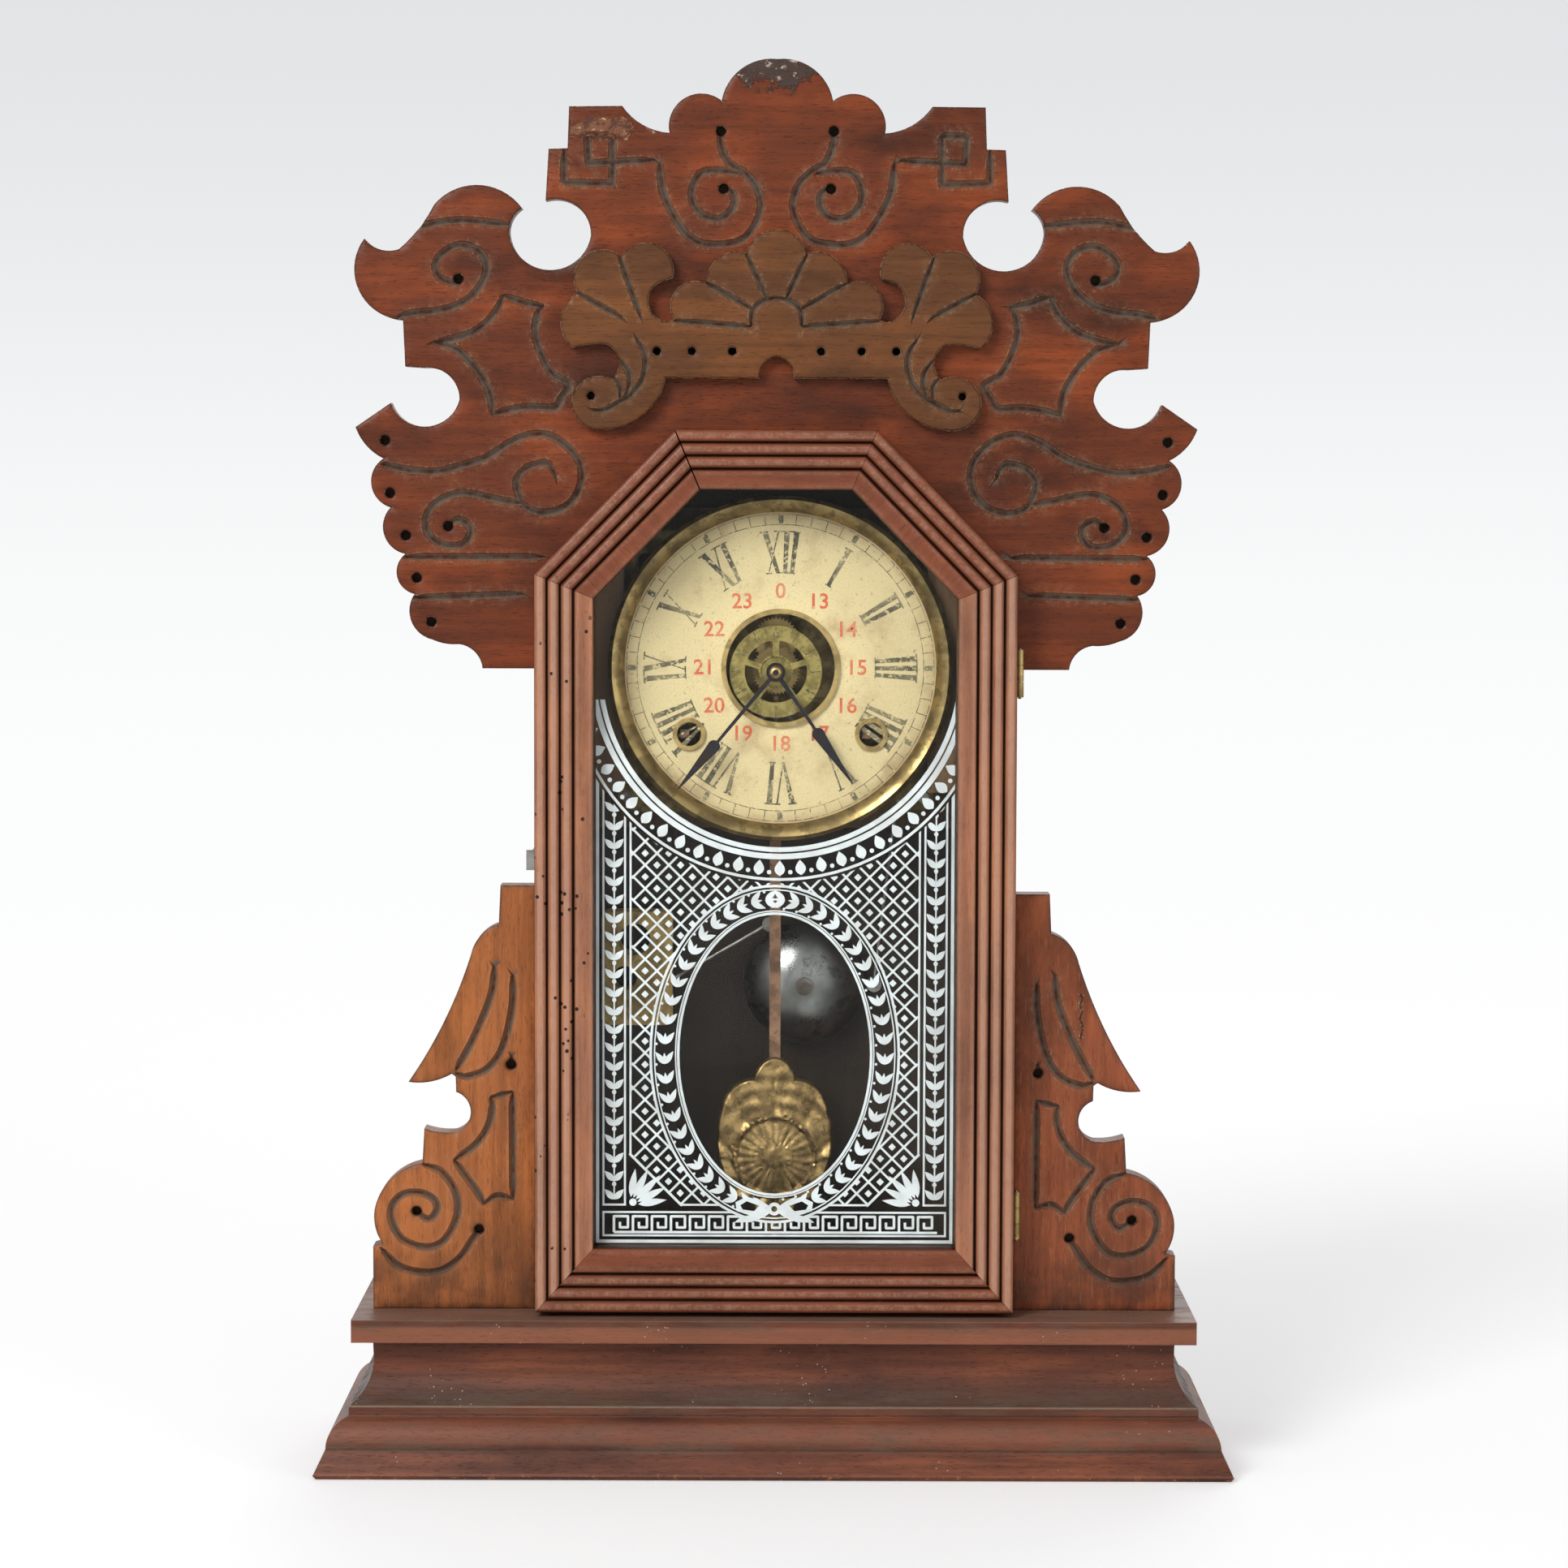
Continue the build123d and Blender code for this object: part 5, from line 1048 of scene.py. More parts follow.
def lettering(name, entries, size, y, finish_name, body, thick=0.05):
    """Short numbers as thin meshes in the front plane; an entry is (text, x, z, turn in degrees)."""
    verts, faces = [], []
    for text, x, z, turn in entries:
        curve = bpy.data.curves.new(name, "FONT")
        curve.body = text
        curve.size = size
        curve.align_x = "CENTER"
        curve.align_y = "CENTER"
        curve.extrude = thick / 2
        curve.offset = 0.014 * size
        curve.resolution_u = 3
        holder = bpy.data.objects.new(name + "_text", curve)
        mesh = bpy.data.meshes.new_from_object(holder)
        welded = bmesh.new()
        welded.from_mesh(mesh)
        bmesh.ops.remove_doubles(welded, verts=welded.verts, dist=1e-4 * size)
        welded.to_mesh(mesh)
        welded.free()
        first = len(verts)
        c, s = math.cos(math.radians(turn)), math.sin(math.radians(turn))
        for v in mesh.vertices:
            u, w = v.co.x, v.co.y
            verts.append((x + u * c - w * s, y - v.co.z, z + u * s + w * c))
        faces += [tuple(first + i for i in p.vertices) for p in mesh.polygons]
        bpy.data.objects.remove(holder)
        bpy.data.curves.remove(curve)
        bpy.data.meshes.remove(mesh)
    return make_piece(name, verts, faces, finish_name, body, smooth=False)


# Pieces

def middle(node):
    low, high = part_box(node)
    return (low + high) / 2 * TO_MM


def level(node, end=0):
    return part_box(node)[end].y * TO_MM


def carving_sizes(carving):
    """Groove width, groove depth and edge wear."""
    return carving.groove_width * TO_MM, carving.groove_depth * TO_MM, carving.edge_round * TO_MM


def build_crest(carving):
    width, deep, edge = carving_sizes(carving)
    relief_board("crest_carved", "crest_board", level("crest_board"), level("crest_board", 1), "crest",
                 lines=both_sides(CREST_LINES), width=width, deep=deep, edge=edge)
    relief_board("overlay_carved", "crest_overlay", level("crest_overlay"), level("crest_overlay", 1),
                 "overlay", lines=both_sides(OVERLAY_LINES), width=width * 0.8, deep=deep,
                 edge=edge * 1.3, grid=3.0)


def build_brackets(carving):
    width, deep, edge = carving_sizes(carving)
    for side, node, drop in ((-1, "left_bracket", 0), (1, "right_bracket", BRACKET_DROP)):
        lines = [[(side * x, z - drop) for x, z in line] for line in BRACKET_LINES]
        relief_board(node + "_carved", node, level(node), level(node, 1),
                     "bracket_left" if side < 0 else "bracket_right", lines=lines,
                     width=width, deep=deep, edge=edge, grid=3.0)


def build_base():
    give("base", "base_top_board", "plinth_front_moulding", "plinth_left_moulding", "plinth_right_moulding")
    give("plain", "plinth_back_rail")


def build_case():
    give("case", "case_left_side", "case_right_side", "case_top")
    give("back", "backboard")
    give("plain", "inner_battens")
    give("steel", "backboard_screws", "door_catch", "hinge_pins")
    give("brass", "hinge_case_leaves", "hinge_door_leaves")


# Where each reed starts and ends, out from the sight edge; the last end is the rail's width
REED_ENDS = ((0.0, 7.7), (8.5, 12.9), (13.7, 18.1), (18.9, 23.5))
REED_ENDS_WIDE = ((0.0, 10.2), (11.0, 15.4), (16.2, 20.6), (21.4, 26.0))

REED_SHARES = (0.0, 0.06, 0.16, 0.32, 0.5, 0.68, 0.84, 0.94, 1.0)
REED_DEPTH = 1.15
SLOT_DEPTH = 2.3
RABBET = 5.0
MITRE_GAP = 0.08
OPEN_MITRE = 0.5
SWEEP_STEP = 12
DOOR_LENGTHS = (("door_right_stile", "stile"), ("door_right_slant", "slant_right"), ("door_top_rail", "rail"),
                ("door_left_slant", "slant_left"), ("door_left_stile", "stile"), ("door_bottom_rail", "rail"))


def rail_profile(ends, front, glass, back):
    """Section of a reeded rail: points (distance out from the sight edge, y, groove, crown); groove sets the
    painted shade and crown the painted highlight.
    """
    points = []
    for number, (start, end) in enumerate(ends):
        for share in REED_SHARES:
            u = abs(2 * share - 1)
            if number == 0:
                sunk = 0.45 * (1 - u * u) * 0.7 + 1.3 * u ** 14
            else:
                sunk = REED_DEPTH * u ** 3.2
            crown = max(0.0, 1 - sunk / 0.5)
            points.append((start + (end - start) * share, front + sunk, 0.75 * u ** 6, crown))
        if number < 3:
            points.append((end + 0.4, front + SLOT_DEPTH, 1.0, 0.0))
    outer = ends[-1][1]
    points += [(outer, back, 0.3, 0.0), (RABBET, back, 0.3, 0.0), (RABBET, glass, 0.8, 0.0),
               (0.0, glass, 0.8, 0.0)]
    return points


def inner_corners(outer, widths):
    """Corners of the door's opening, where the inner edges of neighbouring lengths meet."""
    inner = []
    for i in range(len(outer)):
        lines = []
        for k in (i - 1, i):
            a, b = outer[k], outer[(k + 1) % len(outer)]
            run = math.dist(a, b)
            dx, dz = (b[0] - a[0]) / run, (b[1] - a[1]) / run
            lines.append((a[0] - dz * widths[k], a[1] + dx * widths[k], dx, dz))
        (ax, az, adx, adz), (bx, bz, bdx, bdz) = lines
        t = ((bx - ax) * bdz - (bz - az) * bdx) / (adx * bdz - adz * bdx)
        inner.append((ax + adx * t, az + adz * t))
    return inner


def on_mitre(near, far, share, along, gap):
    """A place on a mitre, moved along the length by a gap."""
    return tuple(n + (f - n) * share + a * gap for n, f, a in zip(near, far, along))


def build_door():
    low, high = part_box("door_bottom_rail")
    front, back = low.y * TO_MM, high.y * TO_MM
    glass = level("door_glass")
    half, bottom = high.x * TO_MM, low.z * TO_MM
    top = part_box("door_top_rail")[1].z * TO_MM
    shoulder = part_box("door_left_stile")[1].z * TO_MM
    top_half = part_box("door_top_rail")[1].x * TO_MM
    outer = [(half, bottom), (half, shoulder), (top_half, top), (-top_half, top), (-half, shoulder),
             (-half, bottom)]
    reeds = [REED_ENDS_WIDE if node == "door_bottom_rail" else REED_ENDS for node, _ in DOOR_LENGTHS]
    widths = [ends[-1][1] for ends in reeds]
    inner = inner_corners(outer, widths)
    for i, (node, look) in enumerate(DOOR_LENGTHS):
        j = (i + 1) % len(outer)
        profile = rail_profile(reeds[i], front, glass, back)
        run = math.dist(outer[i], outer[j])
        along = ((outer[j][0] - outer[i][0]) / run, (outer[j][1] - outer[i][1]) / run)
        first_gap = OPEN_MITRE if node == "door_left_slant" else MITRE_GAP
        steps = max(4, round(run / SWEEP_STEP))
        verts, groove, crown = [], [], []
        for step in range(steps + 1):
            t = step / steps
            for s, y, deep, high_part in profile:
                share = s / widths[i]
                ax, az = on_mitre(inner[i], outer[i], share, along, first_gap)
                bx, bz = on_mitre(inner[j], outer[j], share, along, -MITRE_GAP)
                verts.append((ax + (bx - ax) * t, y, az + (bz - az) * t))
                groove.append(deep)
                crown.append(high_part)
        count = len(profile)
        faces = []
        for a in range(0, steps * count, count):
            b = a + count
            for k in range(count):
                m = (k + 1) % count
                faces.append((a + k, a + m, b + m, b + k))
        faces.append(tuple(reversed(range(count))))
        faces.append(tuple(steps * count + k for k in range(count)))
        piece = make_piece(node + "_reeded", verts, faces, look, "door",
                           {"groove": groove, "crown": crown}, 50)
        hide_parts(node)
    give("glass", "door_glass")
    give("plain", "glass_bead")


# One turn of the key border, from its foot, and the outlines of the bow below the wreath
KEY_TURNS = ((0, 0), (0, 6.4), (5.6, 6.4), (5.6, 1.9), (2.4, 1.9), (2.4, 4.1))
BOW = ((0, 0), (5, 3.6), (11, 5.2), (15.5, 3.0), (15.0, -0.6), (10, -2.0), (5, -1.6))
BOW_HOLE = ((6, 1.6), (11, 3.4), (13.6, 1.8), (12.6, 0.0), (8, -0.6))
BOW_TAIL = ((0, 0), (4, -3), (9, -5.0), (16, -5.2), (13.5, -3.0), (8, -1.8), (2.5, 0.5))
WREATH_LEAVES = 24
EGGS = 60


def build_tablet(tablet):
    """A silver stencil on the back of the glass: lattice panels, wreath, bead rings, corner fans."""
    half, low = 71.3, 89.4
    centre = middle("dial_bezel")
    cx, cz = 0.0, centre.z
    wide, tall = tablet.window_width * TO_MM, tablet.window_height * TO_MM
    wz = low + 14 + tall + 6
    shapes = []

    def paint(loop):
        shapes.append((True, loop))

    def clear(loop):
        shapes.append((False, loop))

    def frame_box(x0, z0, x1, z1, line):
        paint(block(x0, z0, x1, z1))
        clear(block(x0 + line, z0 + line, x1 - line, z1 - line))

    top = cz - 12
    frame_box(-half, low, half, top + 6, 1.3)
    frame_box(-half + 2.6, low + 2.6, half - 2.6, low + 12.8, 0.8)
    step = 7.6
    count = int((2 * half - 8) / step)
    for i in range(count):
        x, z = -count * step / 2 + i * step + 0.5, low + 4.3
        key = [(x + right, z + up) for right, up in KEY_TURNS]
        paint(ribbon(denser(key, 0.4, closed=False), 1.0))
        paint(ribbon(denser([(x, z), (x + step, z)], 2.0, closed=False), 1.0))
    panel_low = low + 15.0
    for sign in (-1, 1):
        x0, x1 = sorted((sign * (half - 2.6), sign * (half - 12.0)))
        frame_box(x0, panel_low, x1, top + 8, 0.8)
        xm = (x0 + x1) / 2
        z = panel_low + 2.5
        paint(ribbon(denser([(xm, z), (xm, top)], 3.0, closed=False), 0.6))
        while z < top - 8:
            for lean in (-1, 1):
                paint(leaf(xm, z, math.pi / 2 - lean * 0.75, 5.6, 2.5))
            paint(circle(xm, z + 6.2, 0.9, 10))
            z += 7.4
    inner_x = half - 13.4
    frame_box(-inner_x, panel_low, inner_x, top + 8, 0.8)
    cell = 9.4
    rows = int((top - panel_low) / cell) + 2
    columns = int(inner_x / cell) + 1
    for column in range(-columns - rows, columns + rows + 1):
        for lean in (-1, 1):
            line = []
            x, z = column * cell, panel_low + 0.4
            for step_up in range(int(rows * cell)):
                px, pz = x + lean * step_up, z + step_up
                if abs(px) < inner_x - 0.4 and pz < top + 4:
                    line.append((px, pz))
            if len(line) > 2:
                paint(ribbon([line[0], line[-1]], 0.85))
    for row in range(rows):
        for column in range(-columns, columns + 1):
            px, pz = column * cell, panel_low + 0.4 + row * cell + cell / 2
            for ox, oz in ((0, 0), (cell / 2, cell / 2)):
                if abs(px + ox) < inner_x - 2.5 and pz + oz < top:
                    paint([(px + ox - 1.5, pz + oz), (px + ox, pz + oz - 1.5), (px + ox + 1.5, pz + oz),
                           (px + ox, pz + oz + 1.5)])
    for sign in (-1, 1):
        fx, foot = sign * inner_x, panel_low
        clear([(fx, foot), (fx - sign * 21, foot), (fx, foot + 21)])
        paint(ribbon([(fx - sign * 21, foot), (fx, foot + 21)], 1.0))
        for i in range(5):
            angle = math.radians(9 + 18 * i)
            direction = math.pi - angle if sign > 0 else angle
            paint(leaf(*around(fx, foot, 3.5, direction), direction, 14.0 - abs(i - 2) * 1.2, 2.9))
        paint(circle(fx - sign * 1.4, foot + 1.4, 1.5, 14))
    outer_wide, outer_tall = wide + 12.0, tall + 12.0
    clear(circle(cx, wz, outer_wide, 72, outer_tall / outer_wide))
    for grow, line in ((12.0, 1.0), (10.2, 0.5), (1.8, 0.5), (1.0, 1.0)):
        paint(circle(cx, wz, wide + grow, 72, (tall + grow) / (wide + grow)))
        clear(circle(cx, wz, wide + grow - line, 72, (tall + grow - line) / (wide + grow - line)))
    for sign in (-1, 1):
        for i in range(WREATH_LEAVES):
            angle = -math.pi / 2 + math.pi * (i + 0.7) / (WREATH_LEAVES + 0.4)
            x = cx + sign * (wide + 5.9) * math.cos(angle)
            z = wz + (tall + 5.9) * math.sin(angle)
            ahead = math.atan2((tall + 5.9) * math.cos(angle), -sign * (wide + 5.9) * math.sin(angle))
            for lean in (-0.62, 0.62):
                paint(leaf(x, z, ahead + lean, 6.2, 2.3))
            paint(leaf(x, z, ahead, 4.6, 1.5))
            paint(circle(*around(x, z, 3.4, ahead + math.pi / 2), 0.55, 8))
    for sign in (-1, 1):
        for draw, loop in ((paint, BOW), (clear, BOW_HOLE), (paint, BOW_TAIL)):
            draw([(cx + sign * x, wz - tall - 6.5 + z) for x, z in loop])
    paint(circle(cx, wz - tall - 6.2, 2.6, 20))
    clear(circle(cx, wz - tall - 6.2, 1.2, 14))
    band = 73.2
    clear(circle(centre.x, cz, 85.0, 96))
    paint(circle(centre.x, cz, 84.0, 96))
    clear(circle(centre.x, cz, 82.9, 96))
    for i in range(EGGS):
        angle = 2 * math.pi * i / EGGS
        if math.sin(angle) < -0.05:
            x, z = around(centre.x, cz, 79.2, angle)
            paint(leaf(*around(x, z, 2.9, angle), angle + math.pi, 6.2, 4.2))
            paint(circle(*around(centre.x, cz, 80.6, angle + math.pi / EGGS), 0.9, 10))
    paint(circle(centre.x, cz, 75.4, 96))
    clear(circle(centre.x, cz, band, 96))
    paint(circle(centre.x, cz, band - 0.7, 96))
    clear(circle(centre.x, cz, 70.6, 96))
    far = 110
    for sign in (-1, 1):
        clear(block(sign * half, low - 5, sign * far, cz + far))
    clear(block(-far, cz - 12, far, cz + far))
    back = level("door_glass", 1)
    flat_layer("glass_print", shapes, back + 0.05, back + 0.15, "tablet", "door")


def numeral(text, at_degrees, foot, head, centre):
    """A Roman number between two radii, narrowing towards the dial's middle."""
    tall = head - foot
    thick, thin, serif = 1.9, 0.6, 0.6
    loops, cursor = [], 0.0
    for letter in text:
        if letter == "I":
            w = 3.3
            x = cursor + w / 2
            loops.append(block(x - thick / 2, 0, x + thick / 2, tall))
            for z in (0, tall - serif):
                loops.append(block(x - 1.6, z, x + 1.6, z + serif))
        elif letter == "V":
            w = 7.4
            x = cursor + w / 2
            loops.append([(x - 0.5, 0), (x + 0.6, 0), (x - 1.7, tall), (x - 1.7 - thick, tall)])
            loops.append([(x - 0.2, 0), (x + 0.6, 0), (x + 3.0, tall), (x + 3.0 - thin, tall)])
            loops.append(block(x - 4.1, tall - serif, x - 1.2, tall))
            loops.append(block(x + 1.5, tall - serif, x + 3.6, tall))
        else:
            w = 7.6
            x = cursor + w / 2
            loops.append([(x + 1.2, 0), (x + 1.2 + thick, 0), (x - 1.2, tall), (x - 1.2 - thick, tall)])
            loops.append([(x - 2.9, 0), (x - 2.9 + thin, 0), (x + 2.9, tall), (x + 2.9 - thin, tall)])
            for z in (0, tall - serif):
                lean = 0.0 if z else 0.2
                loops.append(block(x - 4.0 + lean, z, x - 1.0 + lean, z + serif))
                loops.append(block(x + 1.0 + lean, z, x + 3.8 + lean, z + serif))
        cursor += w
    middle_radius = (foot + head) / 2
    placed = []
    for loop in loops:
        ring = []
        for u, v in loop:
            angle = math.radians(90 - at_degrees) - (u - cursor / 2) / middle_radius
            ring.append(around(centre.x, centre.z, foot + v, angle))
        placed.append(ring)
    return placed


HOURS = ("XII", "I", "II", "III", "IIII", "V", "VI", "VII", "VIII", "IX", "X", "XI")
MARK_RADIUS = 59.5
TRACK_RADII = (61.6, 57.4)
TRACK_HALF = 0.16
RED_RADIUS = 30.6
ALARM_RADIUS = 14.6


def build_dial(dial):
    give("paper", "dial_plate")
    give("bezel", "dial_bezel")
    give("brass", "dial_eye_ring", "winding_grommets")
    centre = middle("dial_bezel")
    front = level("dial_plate")
    shapes = []
    for radius in TRACK_RADII:
        shapes.append((True, circle(centre.x, centre.z, radius + TRACK_HALF, 120)))
        shapes.append((False, circle(centre.x, centre.z, radius - TRACK_HALF, 120)))
    for hour, text in enumerate(HOURS):
        for loop in numeral(text, hour * 30, dial.numeral_inner * TO_MM, dial.numeral_outer * TO_MM, centre):
            shapes.append((True, loop))
    flat_layer("dial_numbers", shapes, front - 0.05, front - 0.005, "ink", "case")
    ring_of_pieces("dial_minute_marks", 60, MARK_RADIUS, (4.2, 0.36, 0.045),
                   (centre.x, front - 0.03, centre.z), "ink", "case")
    ring_of_pieces("dial_hour_blocks", 12, MARK_RADIUS, (3.2, 2.1, 0.05),
                   (centre.x, front - 0.035, centre.z), "ink", "case")
    entries = []
    for hour in range(12):
        angle = math.radians(90 - hour * 30)
        text = str(12 + hour) if hour else "0"
        entries.append((text, *around(centre.x, centre.z, RED_RADIUS, angle), 0))
    lettering("dial_inner_numbers", entries, 8.6, front - 0.03, "red", "case")


def build_hands():
    give("blued", "minute_hand", "hour_hand", "centre_arbor")
    give("brass", "hand_nut", "hour_wheel", "minute_wheel")
    give("disc", "alarm_disc")
    centre = middle("alarm_disc")
    front = level("alarm_disc")
    ring_of_pieces("alarm_ticks", 48, 17.5, (1.1, 0.22, 0.04), (centre.x, front - 0.02, centre.z), "engraved",
                   "alarm_setter")
    ring_of_pieces("alarm_hour_ticks", 12, 17.2, (1.8, 0.42, 0.05), (centre.x, front - 0.02, centre.z),
                   "engraved", "alarm_setter")
    ring_of_pieces("alarm_hub_beads", 36, 6.0, (0.95, 0.95, 0.7), (centre.x, front, centre.z), "disc",
                   "alarm_setter", bead=True)
    entries = []
    for hour in range(12):
        angle = math.radians(90 - hour * 30)
        entries.append((str(hour or 12), *around(centre.x, centre.z, ALARM_RADIUS, angle), -hour * 30))
    lettering("alarm_numbers", entries, 2.9, front - 0.02, "engraved", "alarm_setter", 0.04)


def build_movement():
    give("works", "movement_front_plate", "movement_back_plate", "time_great_wheel", "time_second_wheel",
         "time_centre_wheel", "time_third_wheel", "escape_wheel", "strike_great_wheel", "strike_pin_wheel",
         "strike_fly")
    give("steel", "movement_pillars", "mainsprings", "verge")
    give("copper", "time_winding_arbor", "strike_winding_arbor")


def bob_height(x, z, cx, cz):
    """How far the bob's cast face lies behind its front: a fluted medallion below a palmette."""
    dx, dz = x - cx, z - cz
    radius = math.hypot(dx, dz)
    angle = math.atan2(dz, dx)
    if radius < 17.5:
        dome = 0.3 + 1.9 * (radius / 17.5) ** 2
        if radius < 4.5:
            return 0.1 + 0.9 * (radius / 4.5) ** 4
        if radius > 15.2:
            return 0.7 + 0.9 * abs(radius - 16.3) + 0.25 * (1 + math.cos(48 * angle))
        return dome + 0.55 * (1 - abs(math.sin(12 * angle))) + 0.3
    if dz > 0:
        lean = math.atan2(dx, dz + 14)
        ribs = 1 - abs(math.sin(7.5 * lean))
        return 1.1 + 1.3 * ribs + 0.5 * math.sin(0.55 * radius) ** 2
    lean = math.atan2(dx, -(dz + 8))
    return 1.3 + 1.2 * (1 - abs(math.sin(5 * lean)))


def build_pendulum():
    give("copper", "pendulum_rod")
    low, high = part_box("pendulum_bob")
    cx, cz = (low.x + high.x) / 2 * TO_MM, (low.z * 0.56 + high.z * 0.44) * TO_MM
    relief_board("bob_cast", "pendulum_bob", low.y * TO_MM, high.y * TO_MM, "cast",
                 body="pendulum", grid=0.9, edge=1.2, height=lambda x, z: bob_height(x, z, cx, cz))


def build_bell():
    give("nickel", "bell")
    give("steel", "bell_post", "strike_hammer", "alarm_hammer")
    give("brass", "alarm_frame")


# The view's camera: its picture and focal length in pixels, place in metres, roll in degrees
PICTURE_WIDTH = 1932
FOCAL_PIXELS = 5181
LOOK_DOWN_PIXELS = 361
SENSOR = 36
CAMERA_PLACE = (0.0034, -1.695, 0.3896)
CAMERA_ROLL = 0.17
LAMP_TARGET = (0, 0, 0.3)
FLOOR_RADII = (0.0, 0.2, 0.4, 0.6, 0.8, 1.0, 1.3, 1.7, 2.2)
FLOOR_SIDES = 96
FLOOR_GAP = 0.0002


def build_camera(scene):
    camera = bpy.data.cameras.new("Camera")
    camera.sensor_width = SENSOR
    camera.lens = FOCAL_PIXELS / PICTURE_WIDTH * SENSOR
    camera.clip_start = 0.05
    camera.clip_end = 60
    holder = bpy.data.objects.new("Camera", camera)
    scene.collection.objects.link(holder)
    down = math.atan(LOOK_DOWN_PIXELS / FOCAL_PIXELS)
    holder.matrix_world = (Matrix.Translation(CAMERA_PLACE)
                           @ Matrix.Rotation(math.pi / 2 - down, 4, "X")
                           @ Matrix.Rotation(math.radians(CAMERA_ROLL), 4, "Z"))
    scene.camera = holder


def build_world(scene, stage):
    """A pale backdrop for what is seen, and even light of its own strength for what is lit."""
    world = bpy.data.worlds.new("Studio")
    world.use_nodes = True
    scene.world = world
    world.node_tree.nodes.clear()
    g = Graph(world.node_tree)
    height = g.axes(g.add("ShaderNodeTexCoord").outputs["Generated"])[2]
    sky = g.mix(g.ramp(height, -0.06, 0.13), (0.965, 0.97, 0.975), tuple(stage.top))
    sky = g.mix(g.ramp(height, -0.03, -0.16), sky, (1, 1, 1))
    seen = g.add("ShaderNodeBackground", {"Color": sky, "Strength": 1.0})
    light = g.add("ShaderNodeBackground", {"Color": (1, 1, 1), "Strength": stage.ambient})
    path = g.add("ShaderNodeLightPath").outputs
    shown = g.math("MAXIMUM", g.math("MAXIMUM", path["Is Camera Ray"], path["Is Glossy Ray"]),
                   path["Is Transmission Ray"])
    both = g.add("ShaderNodeMixShader", {0: shown, 1: light.outputs[0], 2: seen.outputs[0]})
    out = g.add("ShaderNodeOutputWorld", {0: both.outputs[0]})
    out.is_active_output = True


def build_lamps(scene, stage):
    for name, place, size, value in (("Key", (-1.15, -1.75, 1.55), 0.9, stage.key),
                                     ("Fill", (1.7, -1.5, 0.7), 1.2, stage.key * 0.22),
                                     ("Back", (0.3, 1.9, 1.5), 1.2, stage.key * 0.5)):
        lamp = bpy.data.lights.new(name, "AREA")
        lamp.size = size
        away = Vector(LAMP_TARGET) - Vector(place)
        lamp.energy = value * math.pi ** 2 * away.length_squared
        holder = bpy.data.objects.new(name, lamp)
        scene.collection.objects.link(holder)
        holder.location = place
        holder.rotation_euler = away.to_track_quat("-Z", "Y").to_euler()


def floor_material():
    """Pale and matte, brighter to the camera, fading out towards its rim."""
    material, g = new_material("Pale Floor")
    place = g.place()
    flat = g.length(g.scaled(place, (1, 1, 0)))
    grit = g.ramp(g.noise(place, 700, 3), 0.3, 0.7, 0.97, 1.0)
    matte = g.add("ShaderNodeBsdfDiffuse", {"Color": g.mix(grit, (0.74, 0.74, 0.75), (0.79, 0.79, 0.795))})
    glow = g.add("ShaderNodeEmission", {"Color": (1, 1, 1), "Strength": 0.30})
    both = g.add("ShaderNodeAddShader", {0: matte.outputs[0], 1: glow.outputs[0]})
    path = g.add("ShaderNodeLightPath").outputs
    lit = g.add("ShaderNodeMixShader", {0: path["Is Camera Ray"], 1: matte.outputs[0], 2: both.outputs[0]})
    clear = g.add("ShaderNodeBsdfTransparent")
    fade = g.add("ShaderNodeMixShader", {0: g.ramp(flat, 0.35, 1.7), 1: lit.outputs[0], 2: clear.outputs[0]})
    g.add("ShaderNodeOutputMaterial", {0: fade.outputs[0]})
    return material


def build_floor(scene):
    floor_z = min(0.0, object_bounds()[0][2]) - FLOOR_GAP
    verts = [(0, 0, floor_z * TO_MM)]
    for radius in FLOOR_RADII[1:]:
        verts += [(x, y, floor_z * TO_MM) for x, y in circle(0, 0, TO_MM * radius, FLOOR_SIDES)]
    faces = [(0, 1 + i, 1 + (i + 1) % FLOOR_SIDES) for i in range(FLOOR_SIDES)]
    for ring in range(len(FLOOR_RADII) - 2):
        a, b = 1 + ring * FLOOR_SIDES, 1 + (ring + 1) * FLOOR_SIDES
        faces += [(a + i, b + i, b + (i + 1) % FLOOR_SIDES, a + (i + 1) % FLOOR_SIDES)
                  for i in range(FLOOR_SIDES)]
    mesh = bpy.data.meshes.new("floor")
    mesh.from_pydata([(x * MM, y * MM, z * MM) for x, y, z in verts], [], faces)
    mesh.materials.append(floor_material())
    floor = bpy.data.objects.new("floor", mesh)
    scene.collection.objects.link(floor)
    floor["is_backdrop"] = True


def build_stage(stage):
    scene = bpy.context.scene
    scene.view_settings.view_transform = "Standard"
    build_camera(scene)
    build_world(scene, stage)
    build_lamps(scene, stage)
    build_floor(scene)


# Operators

class BuildStep:
    """What the operators share: each runs its own build function, with its settings if it has any."""
    settings = None

    def execute(self, context):
        given = [getattr(context.scene, self.settings)] if self.settings else []
        self.build(*given)
        return {"FINISHED"}


class CLOCK_OT_stage(BuildStep, bpy.types.Operator):
    """Set up the floor, lamps, backdrop and camera"""
    bl_idname = "clock.stage"
    bl_label = "Stage"
    build = staticmethod(build_stage)
    settings = "clock_stage"


class CLOCK_OT_crest(BuildStep, bpy.types.Operator):
    """Carve the crest board and the overlay on it"""
    bl_idname = "clock.crest"
    bl_label = "Crest"
    build = staticmethod(build_crest)
    settings = "clock_carving"


class CLOCK_OT_brackets(BuildStep, bpy.types.Operator):
    """Carve the two side brackets"""
    bl_idname = "clock.brackets"
    bl_label = "Brackets"
    build = staticmethod(build_brackets)
    settings = "clock_carving"


class CLOCK_OT_base(BuildStep, bpy.types.Operator):
    """Finish the moulded base"""
    bl_idname = "clock.base"
    bl_label = "Base"
    build = staticmethod(build_base)


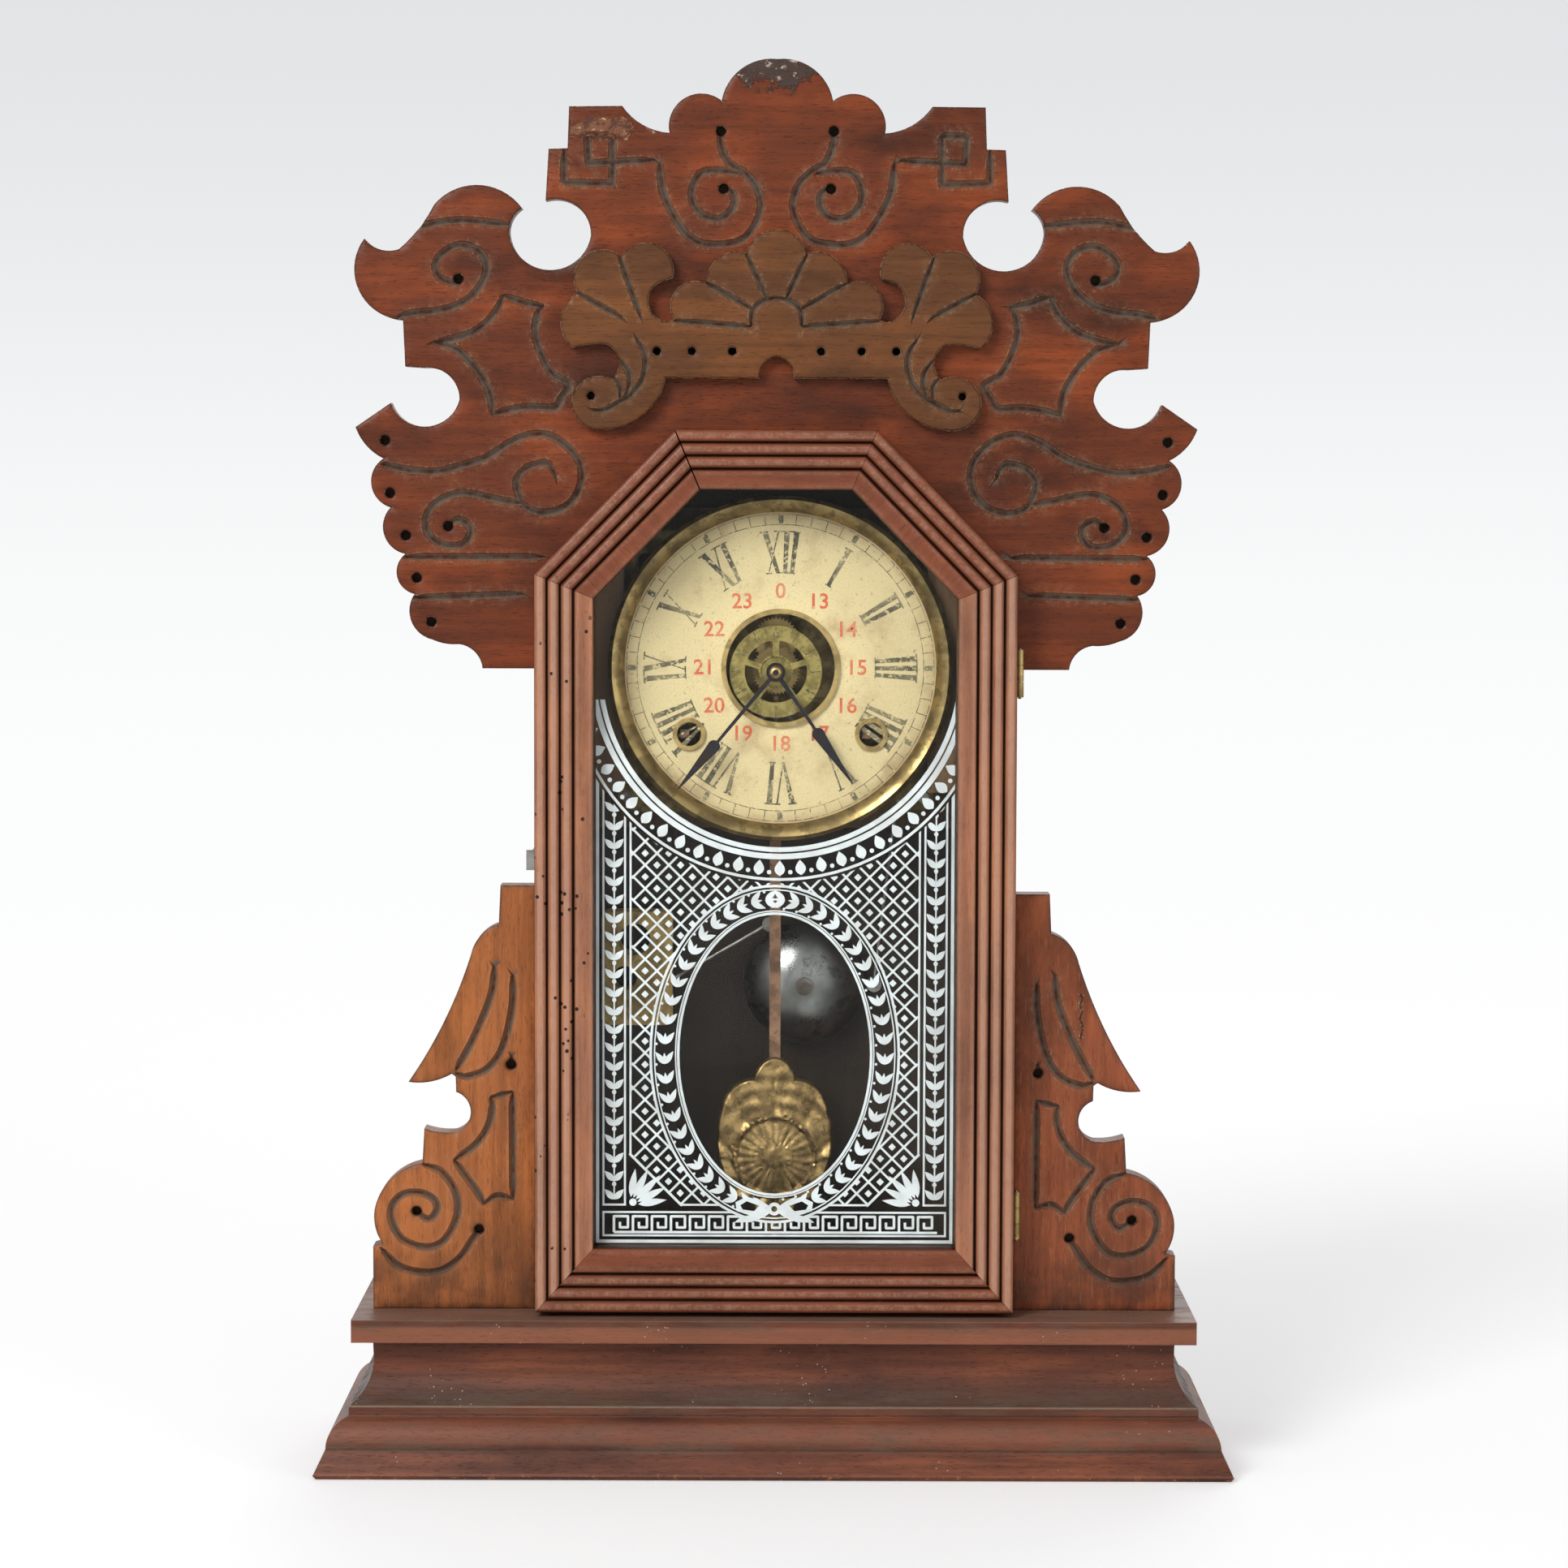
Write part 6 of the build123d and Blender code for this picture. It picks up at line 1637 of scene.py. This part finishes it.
class CLOCK_OT_case(BuildStep, bpy.types.Operator):
    """Finish the case, its backboard, hinges and catch"""
    bl_idname = "clock.case"
    bl_label = "Case"
    build = staticmethod(build_case)


class CLOCK_OT_door(BuildStep, bpy.types.Operator):
    """Make the reeded door and its glass"""
    bl_idname = "clock.door"
    bl_label = "Door"
    build = staticmethod(build_door)


class CLOCK_OT_tablet(BuildStep, bpy.types.Operator):
    """Print the stencil on the back of the glass"""
    bl_idname = "clock.tablet"
    bl_label = "Tablet"
    build = staticmethod(build_tablet)
    settings = "clock_tablet"


class CLOCK_OT_dial(BuildStep, bpy.types.Operator):
    """Print the dial's numbers and marks, and finish its rings"""
    bl_idname = "clock.dial"
    bl_label = "Dial"
    build = staticmethod(build_dial)
    settings = "clock_dial"


class CLOCK_OT_hands(BuildStep, bpy.types.Operator):
    """Finish the hands and engrave the alarm disc"""
    bl_idname = "clock.hands"
    bl_label = "Hands"
    build = staticmethod(build_hands)


class CLOCK_OT_movement(BuildStep, bpy.types.Operator):
    """Finish the plates, wheels and springs"""
    bl_idname = "clock.movement"
    bl_label = "Movement"
    build = staticmethod(build_movement)


class CLOCK_OT_pendulum(BuildStep, bpy.types.Operator):
    """Cast the pendulum's bob and finish its rod"""
    bl_idname = "clock.pendulum"
    bl_label = "Pendulum"
    build = staticmethod(build_pendulum)


class CLOCK_OT_bell(BuildStep, bpy.types.Operator):
    """Finish the bell, hammers and alarm frame"""
    bl_idname = "clock.bell"
    bl_label = "Bell"
    build = staticmethod(build_bell)


OPERATORS = (CLOCK_OT_stage, CLOCK_OT_crest, CLOCK_OT_brackets, CLOCK_OT_base, CLOCK_OT_case, CLOCK_OT_door,
             CLOCK_OT_tablet, CLOCK_OT_dial, CLOCK_OT_hands, CLOCK_OT_movement, CLOCK_OT_pendulum,
             CLOCK_OT_bell)
SETTINGS = (("clock_carving", CarvingSettings), ("clock_finish", FinishSettings),
            ("clock_dial", DialSettings), ("clock_tablet", TabletSettings), ("clock_stage", StageSettings))


class CLOCK_PT_panel(bpy.types.Panel):
    """Lists the clock's pieces and their settings"""
    bl_label = "Gingerbread Clock"
    bl_idname = "CLOCK_PT_panel"
    bl_space_type = "VIEW_3D"
    bl_region_type = "UI"
    bl_category = "Clock"

    def draw(self, context):
        layout = self.layout
        for operator in OPERATORS:
            layout.operator(operator.bl_idname)
        for label, group in SETTINGS:
            box = layout.box()
            for key in group.__annotations__:
                box.prop(getattr(context.scene, label), key)


def register():
    for label, group in SETTINGS:
        bpy.utils.register_class(group)
        setattr(bpy.types.Scene, label, bpy.props.PointerProperty(type=group))
    for operator in OPERATORS:
        bpy.utils.register_class(operator)
    bpy.utils.register_class(CLOCK_PT_panel)


def unregister():
    bpy.utils.unregister_class(CLOCK_PT_panel)
    for operator in reversed(OPERATORS):
        bpy.utils.unregister_class(operator)
    for label, group in reversed(SETTINGS):
        delattr(bpy.types.Scene, label)
        bpy.utils.unregister_class(group)


def main():
    register()
    for operator in OPERATORS:
        area, name = operator.bl_idname.split(".")
        getattr(getattr(bpy.ops, area), name)()


if __name__ == "__main__":
    main()
